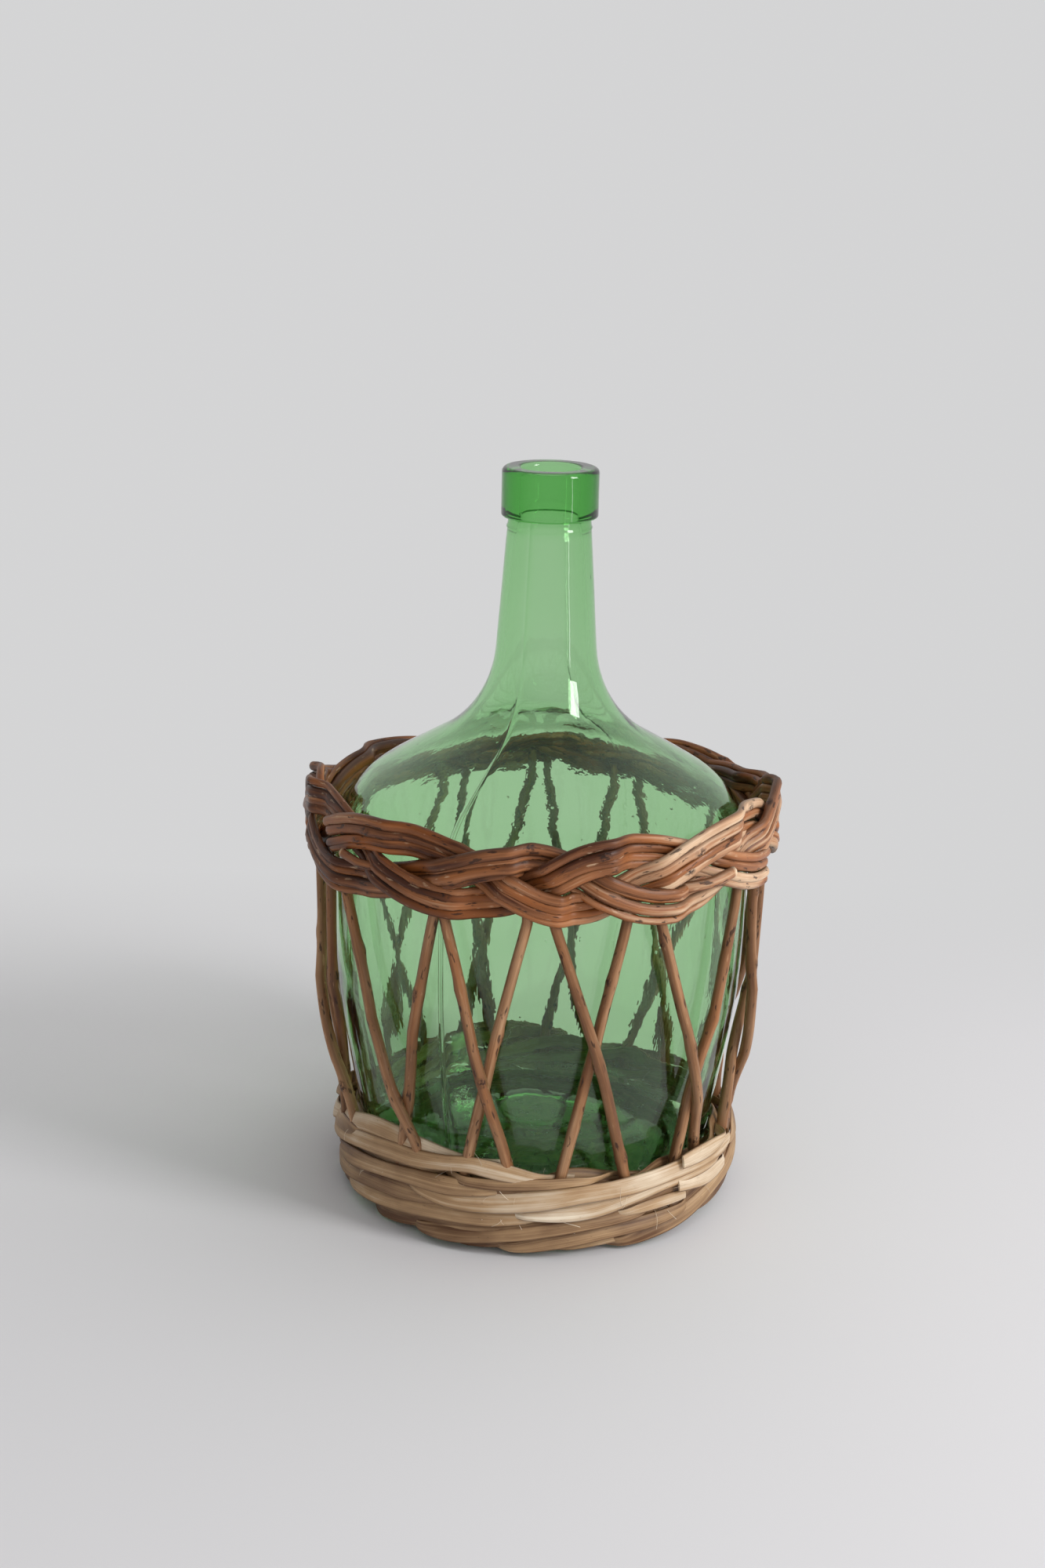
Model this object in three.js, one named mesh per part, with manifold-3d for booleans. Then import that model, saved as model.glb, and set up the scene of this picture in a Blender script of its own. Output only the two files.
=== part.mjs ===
// A wicker demijohn: a five litre green glass bottle that stands in an open willow basket.
// Millimetres, +Z up. The origin is on the table under the middle of the basket, and the front
// faces -Y. Angles are in degrees around Z, zero at the front and growing to the right.

import * as THREE from 'three';
import ManifoldModule from 'manifold-3d';
import { mergeVertices } from 'three/addons/utils/BufferGeometryUtils.js';

// Driving dimensions: the bottle, with heights above its own foot
const bottleHeight = 340;
const footRadius = 83;
const bodyRadius = 99;
const bellyHeight = 97;
const shoulderHeight = 184;
const neckRootRadius = 25.7;
const neckRootHeight = 227.3;
const neckTopRadius = 19.1;
const collarRadius = 21.8;
const collarHeight = 25;
const collarEdge = 2.5;
const boreRadius = 13.5;
const bodyWall = 3.6;
const baseWall = 5.6;
const puntHeight = 15;
const puntTopRadius = 19;
const bearingRadius = 67;
const puntFillet = 25;
const bearingFillet = 10;
const heelFillet = 13.5;
const bellyFillet = 314;
const shoulderFillet = 42;
const neckFillet = 54;

// Driving dimensions: the basket
const stakeDiameter = 4.6;
const rodDiameter = 4.5;
const skeinWidth = 7.5;
const skeinThickness = 2;
const stickWidth = 5.6;
const stickHeight = 5.8;
const shavedHeight = 2.4;
const weaverWidth = 8.6;
const weaverThickness = 1.6;
const tieWidth = 7.3;
const borderMiddle = 186.8;
const stakeFootHeight = 1;
const stakeDrawIn = 1.6;
const crossingReach = 33;

// Driving dimensions: clearances
const weaveGap = 0.3;
const matGap = 0.4;
const bottleGap = 2.4;
const borderGap = 3.6;
const stakeTopGap = 0.45;
const rodEndGap = 0.7;

// Counts that the weave is built on
const sticksEachWay = 3;
const rodsInStrand = 3;
const strandsInPlait = 3;
const stakePairs = 4 * sticksEachWay;
const pairAngle = 360 / stakePairs;
const plaitWaves = stakePairs / strandsInPlait;
const skeinPairsPassed = 4;
const weaverTurns = 2.5;

// Proportions that let rods, stakes and weavers pass each other
const plaitSwingShare = 2.02;
const plaitDepthShare = 0.64;
const crossingShare = 1.25;
const crossingInnerShare = 0.3;
const crossingEaseShare = 0.25;
const stakeTopShare = 0.8;
const strandSharpness = 3;
const strandSteepness = 1.5;
const weaverSharpness = 1.5;
const tieSharpness = 6;
const filletLimitShare = 0.98;

// Angles of the weave, set from the way the real stakes stand
const evenPairAngle = 1.3;
const unevenness = 4.2;
const footTwist = 18.8;
const footSpread = 13;
const footSpreadChange = 4.2;
const widestFootAngle = 19;
const tuckLeft = 3.6;
const tuckRight = 10.1;
const plaitLowAngle = 8.2;

// How finely the pieces are divided
const bottleSegments = 36;
const arcStep = 16;
const rodSides = 5;
const stakeSides = 6;
const ringStep = 5;
const weaverStep = 10;
const leanSteps = 7;

const radians = THREE.MathUtils.degToRad;
const lerp = THREE.MathUtils.lerp;
const sine = (angle) => Math.sin(radians(angle));
const cosine = (angle) => Math.cos(radians(angle));

// Sizes that follow from the driving dimensions
const matMiddle = stickHeight / 2 + weaverThickness + 2 * matGap;
const matSwing = (stickHeight + weaverThickness) / 2 + matGap;
const bottleFoot = matMiddle + matSwing + weaverThickness / 2 + weaveGap;
const skeinStep = skeinWidth + weaveGap;
const skeinSlope = skeinStep / pairAngle;
const skeinRise = skeinPairsPassed * skeinStep;
const bandTop = skeinWidth + skeinRise;
const innerSkeinRadius = bottleRadiusAt(bandTop) + bottleGap + skeinThickness / 2;
const skeinToStake = (skeinThickness + stakeDiameter) / 2 + weaveGap;
const stakeFootRadius = innerSkeinRadius + skeinToStake;
const outerSkeinRadius = stakeFootRadius + skeinToStake;
const rodPitch = rodDiameter + weaveGap;
const strandHalfWidth = ((rodsInStrand - 1) * rodPitch + rodDiameter) / 2;
const plaitSwing = plaitSwingShare * strandHalfWidth;
const plaitDepth = plaitDepthShare * rodDiameter;
const plaitRadius = bodyRadius + borderGap + rodDiameter / 2 + plaitDepth;
const stakeTopRadius = plaitRadius + plaitDepth - (rodDiameter + stakeDiameter) / 2 - stakeTopGap;
const leanTop = borderMiddle - plaitSwing - strandHalfWidth - stakeDiameter;
const crossingGap = crossingShare * (stakeDiameter + weaveGap);
const slathPitch = stickWidth + 2 * weaveGap;
const slathHalf = sticksEachWay * slathPitch / 2;
const stickReach = innerSkeinRadius - skeinThickness / 2 - weaveGap;
const tieRadius = 2 * slathHalf + tieWidth / 2;
const weaverStart = tieRadius + tieWidth / 2 + weaveGap + weaverWidth / 2;
const weaverPitch = weaverWidth + matGap;

// A point at an angle from the front, a distance from the axis and a height
function place(angle, radius, height) {
  return new THREE.Vector3(radius * sine(angle), -radius * cosine(angle), height);
}

function outwards(point) {
  return new THREE.Vector3(point.x, point.y, 0).normalize();
}

function upwards() {
  return new THREE.Vector3(0, 0, 1);
}

// Radius of the bottle's straight taper and body at a height above the table
function bottleRadiusAt(height) {
  const share = THREE.MathUtils.clamp((height - bottleFoot) / bellyHeight, 0, 1);
  return lerp(footRadius, bodyRadius, share);
}

// The stakes and the plait crowd together in some places and spread in others
function uneven(angle) {
  return angle - unevenness * sine(plaitWaves * (angle - evenPairAngle));
}

// A closed bar: a flat section carried along a row of points. The section's first coordinate
// runs across the bar, and its second along facing(point).
function sweep(points, sectionAt, facing) {
  const sides = sectionAt(0).length;
  const positions = [];
  points.forEach((point, i) => {
    const before = points[Math.max(i - 1, 0)];
    const after = points[Math.min(i + 1, points.length - 1)];
    const along = after.clone().sub(before).normalize();
    const face = facing(point);
    face.addScaledVector(along, -face.dot(along)).normalize();
    const across = along.clone().cross(face);
    for (const [sideways, out] of sectionAt(i)) {
      const corner = point.clone().addScaledVector(across, sideways).addScaledVector(face, out);
      positions.push(corner.x, corner.y, corner.z);
    }
  });
  const index = [];
  for (let i = 0; i + 1 < points.length; i += 1) {
    for (let j = 0; j < sides; j += 1) {
      const a = i * sides + j;
      const b = i * sides + (j + 1) % sides;
      index.push(a, b + sides, b, a, a + sides, b + sides);
    }
  }
  const last = (points.length - 1) * sides;
  for (let j = 1; j + 1 < sides; j += 1) {
    index.push(0, j, j + 1, last, last + j + 1, last + j);
  }
  const geometry = new THREE.BufferGeometry();
  geometry.setAttribute('position', new THREE.Float32BufferAttribute(positions, 3));
  geometry.setIndex(index);
  return geometry;
}

function roundSection(diameter, sides) {
  const corners = [];
  for (let j = 0; j < sides; j += 1) {
    const angle = 360 * (j + 0.5) / sides;
    corners.push([diameter / 2 * cosine(angle), diameter / 2 * sine(angle)]);
  }
  return corners;
}

function flatSection(width, thickness) {
  const x = width / 2;
  const y = thickness / 2;
  return [[-x, -y], [x, -y], [x, y], [-x, y]];
}

// A flat bar with its long edges pared off
function paredSection(width, height) {
  const x = width / 2;
  const y = height / 2;
  const pare = Math.min(x, y) / 2;
  return [
    [-x, -y + pare], [-x + pare, -y], [x - pare, -y], [x, -y + pare],
    [x, y - pare], [x - pare, y], [-x + pare, y], [-x, y - pare],
  ];
}

// An outline of straight runs through corners [radius, height, fillet], each corner rounded
function roundedOutline(corners) {
  const outline = [];
  corners.forEach(([radius, height, fillet], i) => {
    const corner = new THREE.Vector2(radius, height);
    if (!fillet) {
      outline.push(corner);
      return;
    }
    const back = new THREE.Vector2(...corners[i - 1].slice(0, 2)).sub(corner);
    const on = new THREE.Vector2(...corners[i + 1].slice(0, 2)).sub(corner);
    const room = Math.min(back.length(), on.length());
    back.normalize();
    on.normalize();
    const turn = Math.PI - Math.acos(THREE.MathUtils.clamp(back.dot(on), -1, 1));
    const cut = Math.min(fillet * Math.tan(turn / 2), filletLimitShare * room);
    const size = cut / Math.tan(turn / 2);
    const bisector = back.clone().add(on).normalize();
    const centre = corner.clone().addScaledVector(bisector, size / Math.cos(turn / 2));
    const first = corner.clone().addScaledVector(back, cut).sub(centre);
    const sense = Math.sign(back.x * on.y - back.y * on.x);
    const steps = Math.max(2, Math.ceil(THREE.MathUtils.radToDeg(turn) / arcStep));
    for (let s = 0; s <= steps; s += 1) {
      const swing = -sense * turn * s / steps;
      outline.push(first.clone().rotateAround(new THREE.Vector2(), swing).add(centre));
    }
  });
  return outline;
}

// The corners of the inside of a wall, from those of its outside and the wall of each run
function insideCorners(corners, walls) {
  const runs = walls.map((wall, i) => {
    const from = new THREE.Vector2(...corners[i].slice(0, 2));
    const along = new THREE.Vector2(...corners[i + 1].slice(0, 2)).sub(from).normalize();
    const inward = new THREE.Vector2(-along.y, along.x);
    return { from: from.addScaledVector(inward, wall), along, inward };
  });
  return runs.slice(1).map((run, i) => {
    const last = runs[i];
    const gap = run.from.clone().sub(last.from).dot(run.inward);
    const meet = last.from.clone().addScaledVector(last.along, gap / last.along.dot(run.inward));
    const fillet = corners[i + 1][2];
    const hollow = last.along.cross(run.along) > 0;
    const wall = Math.max(walls[i], walls[i + 1]);
    return [meet.x, meet.y, hollow ? Math.max(fillet - wall, wall / 2) : fillet + wall];
  });
}

// The bottle in section, from the middle of its underside out, up to the lip and back inside
function bottleOutline() {
  const collarFoot = bottleHeight - collarHeight;
  const outside = [
    [0, puntHeight, 0],
    [puntTopRadius, puntHeight, puntFillet],
    [bearingRadius, 0, bearingFillet],
    [footRadius, 0, heelFillet],
    [bodyRadius, bellyHeight, bellyFillet],
    [bodyRadius, shoulderHeight, shoulderFillet],
    [neckRootRadius, neckRootHeight, neckFillet],
    [neckTopRadius, collarFoot, 0],
  ];
  const neckWall = neckTopRadius - boreRadius;
  const walls = [baseWall, baseWall, baseWall, bodyWall, bodyWall, bodyWall, neckWall];
  const inside = insideCorners(outside, walls);
  const collar = [
    [neckTopRadius, collarFoot, 0],
    [collarRadius, collarFoot, collarEdge / 2],
    [collarRadius, bottleHeight, collarEdge],
    [boreRadius, bottleHeight, 0],
    [boreRadius, collarFoot, 0],
  ];
  const lining = [
    [0, puntHeight + baseWall, 0],
    ...inside,
    [boreRadius, collarFoot, 0],
  ];
  return [
    ...roundedOutline(outside).slice(0, -1),
    ...roundedOutline(collar).slice(0, -1),
    ...roundedOutline(lining).reverse(),
  ];
}

function bottleGeometry() {
  const geometry = new THREE.LatheGeometry(bottleOutline(), bottleSegments);
  geometry.rotateX(Math.PI / 2);
  geometry.translate(0, 0, bottleFoot);
  return geometry;
}

// Where the stakes stand: a pair comes down from the border together and spreads, and each
// stake meets its neighbour's at the foot, one on either side of a base stick.
function stickAngle(k) {
  return evenPairAngle + footTwist + pairAngle * k;
}

function spreadAtFoot(k) {
  const around = sticksEachWay * (stickAngle(k) - widestFootAngle);
  return footSpread + footSpreadChange * cosine(around);
}

function pairStartAngle(k) {
  return evenPairAngle - (tuckLeft + tuckRight) / 2 + pairAngle * k;
}

function stakeAngles(k, leansLeft) {
  if (leansLeft) {
    return [stickAngle(k) + spreadAtFoot(k) / 2, uneven(pairStartAngle(k) + tuckRight)];
  }
  return [stickAngle(k - 1) - spreadAtFoot(k - 1) / 2, uneven(pairStartAngle(k) + tuckLeft)];
}

// Height at which a left leaning stake crosses the right leaning one of the next pair
function crossingHeight(k) {
  const [leftFoot, leftTop] = stakeAngles(k, true);
  const [rightFoot, rightTop] = stakeAngles(k + 1, false);
  const footGap = leftFoot - rightFoot;
  const topGap = rightTop - leftTop;
  return lerp(bandTop, leanTop, footGap / (footGap + topGap));
}

// Phase of a strand of the plait at an angle before the crowding, zero where it is lowest
function strandPhase(strand, angle) {
  return plaitWaves * (angle - plaitLowAngle) - 360 * strand / strandsInPlait;
}

// A strand runs level at the bottom and at the top, and straight up or down between
function strandHeight(strand, angle) {
  const fall = Math.asin(cosine(strandPhase(strand, angle))) / (Math.PI / 2);
  return borderMiddle - plaitSwing * THREE.MathUtils.clamp(strandSteepness * fall, -1, 1);
}

// Height, slope and depth of a strand at an angle before the crowding
function strandAt(strand, angle) {
  const before = angle - ringStep / 2;
  const after = angle + ringStep / 2;
  const run = plaitRadius * radians(uneven(after) - uneven(before));
  const rise = strandHeight(strand, after) - strandHeight(strand, before);
  const turning = strandSharpness * sine(2 * strandPhase(strand, angle));
  return {
    height: strandHeight(strand, angle),
    slope: Math.atan(rise / run),
    depth: -plaitDepth * sine(90 * THREE.MathUtils.clamp(turning, -1, 1)),
  };
}

// The stakes pass inside the lowest strand and end under the next one, which is rising there
function stakeTopHeight() {
  const reach = THREE.MathUtils.radToDeg(stakeTopShare * stakeDiameter / stakeTopRadius);
  const rising = strandAt(strandsInPlait - 1, pairStartAngle(0) + tuckLeft - reach);
  return rising.height - strandHalfWidth / Math.cos(rising.slope) - weaveGap;
}

function stakeGeometry(k, leansLeft) {
  const [footAngle, topAngle] = stakeAngles(k, leansLeft);
  const crossing = crossingHeight(leansLeft ? k : k - 1);
  const sideStep = leansLeft ? 1 - crossingInnerShare : -crossingInnerShare;
  const footStand = stakeFootRadius - bottleRadiusAt(bandTop);
  const topStand = stakeTopRadius - bottleRadiusAt(leanTop);
  const points = [place(footAngle, stakeFootRadius, stakeFootHeight)];
  for (let s = 0; s <= leanSteps; s += 1) {
    const share = s / leanSteps;
    const height = lerp(bandTop, leanTop, share);
    const ease = Math.min(1, share / crossingEaseShare, (1 - share) / crossingEaseShare);
    const near = ease * Math.exp(-(((height - crossing) / crossingReach) ** 2));
    const drawnIn = stakeDrawIn * sine(180 * share);
    const stand = lerp(footStand, topStand, share) - drawnIn + sideStep * crossingGap * near;
    points.push(place(lerp(footAngle, topAngle, share), bottleRadiusAt(height) + stand, height));
  }
  points.push(place(topAngle, stakeTopRadius, stakeTopHeight()));
  return sweep(points, () => roundSection(stakeDiameter, stakeSides), outwards);
}

// One rod of the border: once round, its butt meeting its tip behind another strand. The half
// step makes strands change sides midway between two rings of corners.
function borderRodGeometry(strand, rod) {
  const offset = (rod - (rodsInStrand - 1) / 2) * rodPitch;
  const lowest = plaitLowAngle + pairAngle * (strand + strandsInPlait * rod);
  const start = lowest + (pairAngle - ringStep) / 2;
  const endGap = THREE.MathUtils.radToDeg(rodEndGap / plaitRadius);
  const steps = 360 / ringStep;
  const points = [];
  for (let s = 0; s <= steps; s += 1) {
    const angle = s < steps ? start + s * ringStep : start + 360 - endGap;
    const { height, slope, depth } = strandAt(strand, angle);
    const shift = THREE.MathUtils.radToDeg(offset * Math.sin(slope) / plaitRadius);
    const rise = offset * Math.cos(slope);
    points.push(place(uneven(angle) - shift, plaitRadius + depth, height + rise));
  }
  return sweep(points, () => roundSection(rodDiameter, rodSides), outwards);
}

// One flat skein of the foot band. It starts inside a pair of stakes at the table, comes out,
// climbs across the next four pairs and goes in again behind the one after them.
function footSkeinGeometry(k) {
  const halfPair = pairAngle / 2;
  const start = stickAngle(k) - halfPair + ringStep;
  const comesOut = stickAngle(k) + halfPair;
  const goesIn = comesOut + skeinPairsPassed * pairAngle;
  const end = goesIn + pairAngle - ringStep;
  const turning = ringStep;
  const points = [];
  for (let angle = start; angle < end + ringStep / 2; angle += ringStep) {
    const out = THREE.MathUtils.clamp((angle - comesOut + turning) / (2 * turning), 0, 1);
    const back = THREE.MathUtils.clamp((angle - goesIn + turning) / (2 * turning), 0, 1);
    const radius = lerp(innerSkeinRadius, outerSkeinRadius, out - back);
    const climb = THREE.MathUtils.clamp((angle - comesOut) * skeinSlope, 0, skeinRise);
    points.push(place(angle, radius, skeinWidth / 2 + climb));
  }
  return sweep(points, () => flatSection(skeinWidth, skeinThickness), outwards);
}

// One stick of the base. The middle one runs straight, and the others bend to fan out.
function baseStickPoints(lane) {
  const across = lane * slathPitch;
  const fan = lane * pairAngle;
  const shoulder = slathHalf + weaveGap;
  const bend = lane === 0 ? shoulder + stickWidth : across / Math.tan(radians(fan));
  const reach = [stickReach * cosine(fan), stickReach * sine(fan)];
  const half = [[shoulder, across], [Math.max(bend, shoulder + weaveGap), across], reach];
  const mirrored = half.map(([x, y]) => [-x, y]).reverse();
  return [...mirrored, ...half].map(([x, y]) => new THREE.Vector3(x, y, matMiddle));
}

function throughStickGeometry(lane) {
  const shaved = [false, false, true, true, false, false];
  const section = (i) => paredSection(stickWidth, shaved[i] ? shavedHeight : stickHeight);
  return sweep(baseStickPoints(lane), section, upwards);
}

// A slit stick lets the three sticks of the other way pass through its middle
function slitStickGeometry(lane, solids) {
  const stick = sweep(baseStickPoints(lane), () => paredSection(stickWidth, stickHeight), upwards);
  const slit = new THREE.BoxGeometry(2 * slathHalf, 2 * stickWidth, shavedHeight + 2 * weaveGap);
  slit.translate(0, lane * slathPitch, matMiddle);
  return solids.cut(stick, slit);
}

// A ribbon that goes over and under the base sticks in a spiral. Two of them chase each other.
function baseWeaverGeometry(turnStart) {
  const points = [];
  const side = turnStart === 0 ? 1 : -1;
  const first = pairAngle / 2;
  for (let turn = 0; turn <= 360 * weaverTurns; turn += weaverStep) {
    const wave = THREE.MathUtils.clamp(weaverSharpness * cosine(180 * (first + turn) / pairAngle), -1, 1);
    const radius = weaverStart + weaverPitch * (turnStart + 2 * turn / 360);
    points.push(place(first + turn, radius, matMiddle + side * matSwing * wave));
  }
  return sweep(points, () => flatSection(weaverWidth, weaverThickness), upwards);
}

// The first round of the base, over one set of three sticks and under the other
function slathTieGeometry() {
  const points = [];
  const endGap = THREE.MathUtils.radToDeg(rodEndGap / tieRadius);
  for (let turn = 0; turn <= 360; turn += weaverStep) {
    const angle = turn < 360 ? turn : turn - endGap;
    const wave = THREE.MathUtils.clamp(tieSharpness * cosine(2 * angle), -1, 1);
    points.push(place(angle, tieRadius, matMiddle + matSwing * wave));
  }
  return sweep(points, () => flatSection(tieWidth, weaverThickness), upwards);
}

// Cutting one closed shape out of another
async function solidTools() {
  const wasm = await ManifoldModule();
  wasm.setup();
  const toSolid = (geometry) => {
    const bare = geometry.clone();
    bare.deleteAttribute('normal');
    bare.deleteAttribute('uv');
    const merged = mergeVertices(bare);
    const vertProperties = new Float32Array(merged.attributes.position.array);
    const triVerts = new Uint32Array(merged.index.array);
    return new wasm.Manifold(new wasm.Mesh({ numProp: 3, vertProperties, triVerts }));
  };
  const cut = (body, tool) => {
    const mesh = toSolid(body).subtract(toSolid(tool)).getMesh();
    const geometry = new THREE.BufferGeometry();
    const corners = new THREE.Float32BufferAttribute(mesh.vertProperties, mesh.numProp);
    geometry.setAttribute('position', corners);
    geometry.setIndex(Array.from(mesh.triVerts));
    return geometry;
  };
  return { cut };
}

const greenGlass = new THREE.MeshStandardMaterial({ color: 0x9cc9a0, roughness: 0.05, metalness: 0 });
const brownWillow = new THREE.MeshStandardMaterial({ color: 0x9a6a4c, roughness: 0.6, metalness: 0 });
const buffWillow = new THREE.MeshStandardMaterial({ color: 0xa9774f, roughness: 0.55, metalness: 0 });
const paleSkein = new THREE.MeshStandardMaterial({ color: 0xc8a77a, roughness: 0.7, metalness: 0 });
const peeledWillow = new THREE.MeshStandardMaterial({ color: 0xb8925f, roughness: 0.7, metalness: 0 });

const demijohn = new THREE.Group();
const base = new THREE.Group();

function add(group, name, geometry, material) {
  geometry.computeVertexNormals();
  const mesh = new THREE.Mesh(geometry, material);
  mesh.name = name;
  group.add(mesh);
}

const solids = await solidTools();

add(demijohn, 'bottle', bottleGeometry(), greenGlass);

for (let k = 0; k < stakePairs; k += 1) {
  add(demijohn, `stake_left_${k + 1}`, stakeGeometry(k, true), brownWillow);
  add(demijohn, `stake_right_${k + 1}`, stakeGeometry(k, false), brownWillow);
}

for (let strand = 0; strand < strandsInPlait; strand += 1) {
  for (let rod = 0; rod < rodsInStrand; rod += 1) {
    const name = `border_rod_${strand + 1}_${rod + 1}`;
    add(demijohn, name, borderRodGeometry(strand, rod), buffWillow);
  }
}

for (let k = 0; k < stakePairs; k += 1) {
  add(demijohn, `foot_skein_${k + 1}`, footSkeinGeometry(k), paleSkein);
}

for (let lane = 0; lane < sticksEachWay; lane += 1) {
  const fromMiddle = lane - (sticksEachWay - 1) / 2;
  add(base, `base_stick_slit_${lane + 1}`, slitStickGeometry(fromMiddle, solids), peeledWillow);
  const through = throughStickGeometry(fromMiddle);
  through.rotateZ(Math.PI / 2);
  add(base, `base_stick_through_${lane + 1}`, through, peeledWillow);
}
add(base, 'slath_tie', slathTieGeometry(), paleSkein);
add(base, 'base_weaver_1', baseWeaverGeometry(0), paleSkein);
add(base, 'base_weaver_2', baseWeaverGeometry(1), paleSkein);

base.rotation.z = radians(stickAngle(0));
demijohn.add(base);

export default demijohn;
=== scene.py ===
# %% [markdown]
# # A green glass demijohn in an open willow basket
# A five litre bottle stands in a basket that a weaver made round it: twelve pairs of stakes, a plaited
# border at the shoulder, a band of flat skeins at the foot and a woven mat under the glass.
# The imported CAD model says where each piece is. This lesson gives the pieces their real surface.
# Angles go round the bottle in degrees, zero at the front and growing to the right, and the part's own
# sizes are repeated in millimetres, because a weaver thinks in millimetres.

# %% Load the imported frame
import math

import bpy
from mathutils import Matrix, Vector, noise


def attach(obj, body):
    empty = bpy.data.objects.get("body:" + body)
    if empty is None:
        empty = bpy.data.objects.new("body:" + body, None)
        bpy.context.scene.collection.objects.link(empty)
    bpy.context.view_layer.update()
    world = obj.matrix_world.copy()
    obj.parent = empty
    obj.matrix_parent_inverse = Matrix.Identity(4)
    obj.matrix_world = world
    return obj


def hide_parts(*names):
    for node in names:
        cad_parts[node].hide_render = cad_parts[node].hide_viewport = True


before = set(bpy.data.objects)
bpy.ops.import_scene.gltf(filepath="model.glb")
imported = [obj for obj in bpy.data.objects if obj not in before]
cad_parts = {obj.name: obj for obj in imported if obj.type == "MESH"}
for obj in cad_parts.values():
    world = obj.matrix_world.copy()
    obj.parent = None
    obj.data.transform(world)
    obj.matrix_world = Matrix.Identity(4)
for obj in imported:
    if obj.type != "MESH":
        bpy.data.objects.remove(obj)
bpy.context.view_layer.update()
scene = bpy.context.scene
scene.view_settings.view_transform = "Standard"
MM = 0.001


def show(name, data):
    """A new object in the scene."""
    shown = bpy.data.objects.new(name, data)
    scene.collection.objects.link(shown)
    return shown


# %% [markdown]
# ## The camera
# The photograph was taken with an ordinary lens from about a metre away, looking down a little.
# The camera comes first, so that every later step can be looked at from the right place. A Track To
# constraint could aim it, but that never rolls, and the photograph leans a little. So the camera is set
# by its distance, height and three small turns, which were fitted to the bottle's outline.

# %% Camera
CAMERA_BACK = 990.4
CAMERA_HEIGHT = 508.8
CAMERA_PITCH = 17.395
CAMERA_YAW = -0.56
CAMERA_ROLL = 1.3
LENS = 50
SENSOR_WIDTH = 36


def make_camera():
    pitch = math.radians(CAMERA_PITCH)
    yaw = math.radians(CAMERA_YAW)
    roll = math.radians(CAMERA_ROLL)
    forward = Vector((math.sin(yaw) * math.cos(pitch), math.cos(yaw) * math.cos(pitch), -math.sin(pitch)))
    level = Vector((math.cos(yaw), -math.sin(yaw), 0))
    above = level.cross(forward)
    right = math.cos(roll) * level + math.sin(roll) * above
    up = math.cos(roll) * above - math.sin(roll) * level
    data = bpy.data.cameras.new("photograph_camera")
    data.lens = LENS
    data.sensor_width = SENSOR_WIDTH
    camera = show("photograph_camera", data)
    turn = Matrix((right, up, -forward)).transposed()
    camera.matrix_world = Matrix.Translation((0, -CAMERA_BACK * MM, CAMERA_HEIGHT * MM)) @ turn.to_4x4()
    scene.camera = camera
    return camera


camera = make_camera()
print("camera at", [round(x, 3) for x in camera.location])

# %% [markdown]
# ## Sizes and angles of the weave
# These are values of the part itself, and more follow where they are needed. Each willow piece runs along a
# route that is worked out from them, so that it lies where its CAD node lies. Routes could be measured on
# the CAD meshes instead, but a rule with a few values is easier to make uneven than a cloud of points.
# A rise round one angle is written as (size, angle, reach).

# %% Sizes that the pieces share
BOTTLE_FOOT = 10.5
FOOT_RADIUS = 83
BODY_RADIUS = 99
BELLY_HEIGHT = 97
PAIRS = 12
PAIR_ANGLE = 30
STRANDS = 3
print("weave:", PAIRS, "pairs of stakes,", STRANDS, "strands in the border")

# %% Angles and blends


def sine(degrees):
    return math.sin(math.radians(degrees))


def cosine(degrees):
    return math.cos(math.radians(degrees))


def lerp(a, b, share):
    return a + (b - a) * share


def clamp(value, low, high):
    return max(low, min(high, value))


def smooth(share):
    share = clamp(share, 0, 1)
    return share * share * (3 - 2 * share)


def shares(steps):
    return [step / steps for step in range(steps + 1)]


def turn_between(start, end):
    """The shorter way round from one angle to another."""
    return (end - start + 180) % 360 - 180


def bell(away):
    return math.exp(-(away ** 2))


def rise_at(angle, size, middle, reach):
    """So much round an angle, falling to nothing a few reaches away."""
    return size * bell(turn_between(middle, angle) / reach)


print("a rise is", round(bell(1), 2), "of its size one reach away")

# %% Places and drifts


def outward(angle):
    return Vector((sine(angle), -cosine(angle), 0))


def place(angle, radius, height):
    """A point in metres at an angle from the front, a distance from the axis and a height."""
    return Vector((radius * sine(angle), -radius * cosine(angle), height)) * MM


def rod_point(angle, radius, height, wide, tone):
    """One point of a rod's route, which faces outward."""
    return place(angle, radius, height), outward(angle), wide, tone


def wander(seed, where, size):
    """A slow, repeatable drift between about -size and size, for hand made unevenness.

    Each seed has a drift of its own, and where is the place on it, with about one swing in each whole step.
    """
    return size * noise.noise(Vector((where, 7.31 * seed + 0.5, 3.7)))


belly = place(0, BODY_RADIUS, BOTTLE_FOOT + BELLY_HEIGHT)
print("front of the belly at", [round(x, 4) for x in belly])

# %% [markdown]
# ## Helpers for node trees
# Materials and Geometry Nodes are both built from nodes. They could be drawn in the node editor, but in a
# script they can be read in one go and come out the same each time. One helper adds a node, sets its
# properties and fills its inputs with either a value or a link. The others are short words for the nodes
# used most. A socket knows the tree it belongs to, so only a helper that nothing feeds is told the tree.

# %% Node helpers


def add(tree, kind, inputs=None, **settings):
    """Add a node; inputs maps an input's name or number to a value or to the socket that feeds it."""
    node = tree.nodes.new(kind)
    for name, value in settings.items():
        setattr(node, name, value)
    for key, value in (inputs or {}).items():
        socket = node.inputs[key]
        if isinstance(value, bpy.types.NodeSocket):
            tree.links.new(value, socket)
        else:
            socket.default_value = value
    return node


def made(tree, kind, inputs=None, **settings):
    """Add a node and give its first output."""
    return add(tree, kind, inputs, **settings).outputs[0]


def tree_of(values):
    return next(value.id_data for value in values if isinstance(value, bpy.types.NodeSocket))


def maths(operation, *values):
    return made(tree_of(values), "ShaderNodeMath", dict(enumerate(values)), operation=operation)


def times(a, b):
    return maths("MULTIPLY", a, b)


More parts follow.
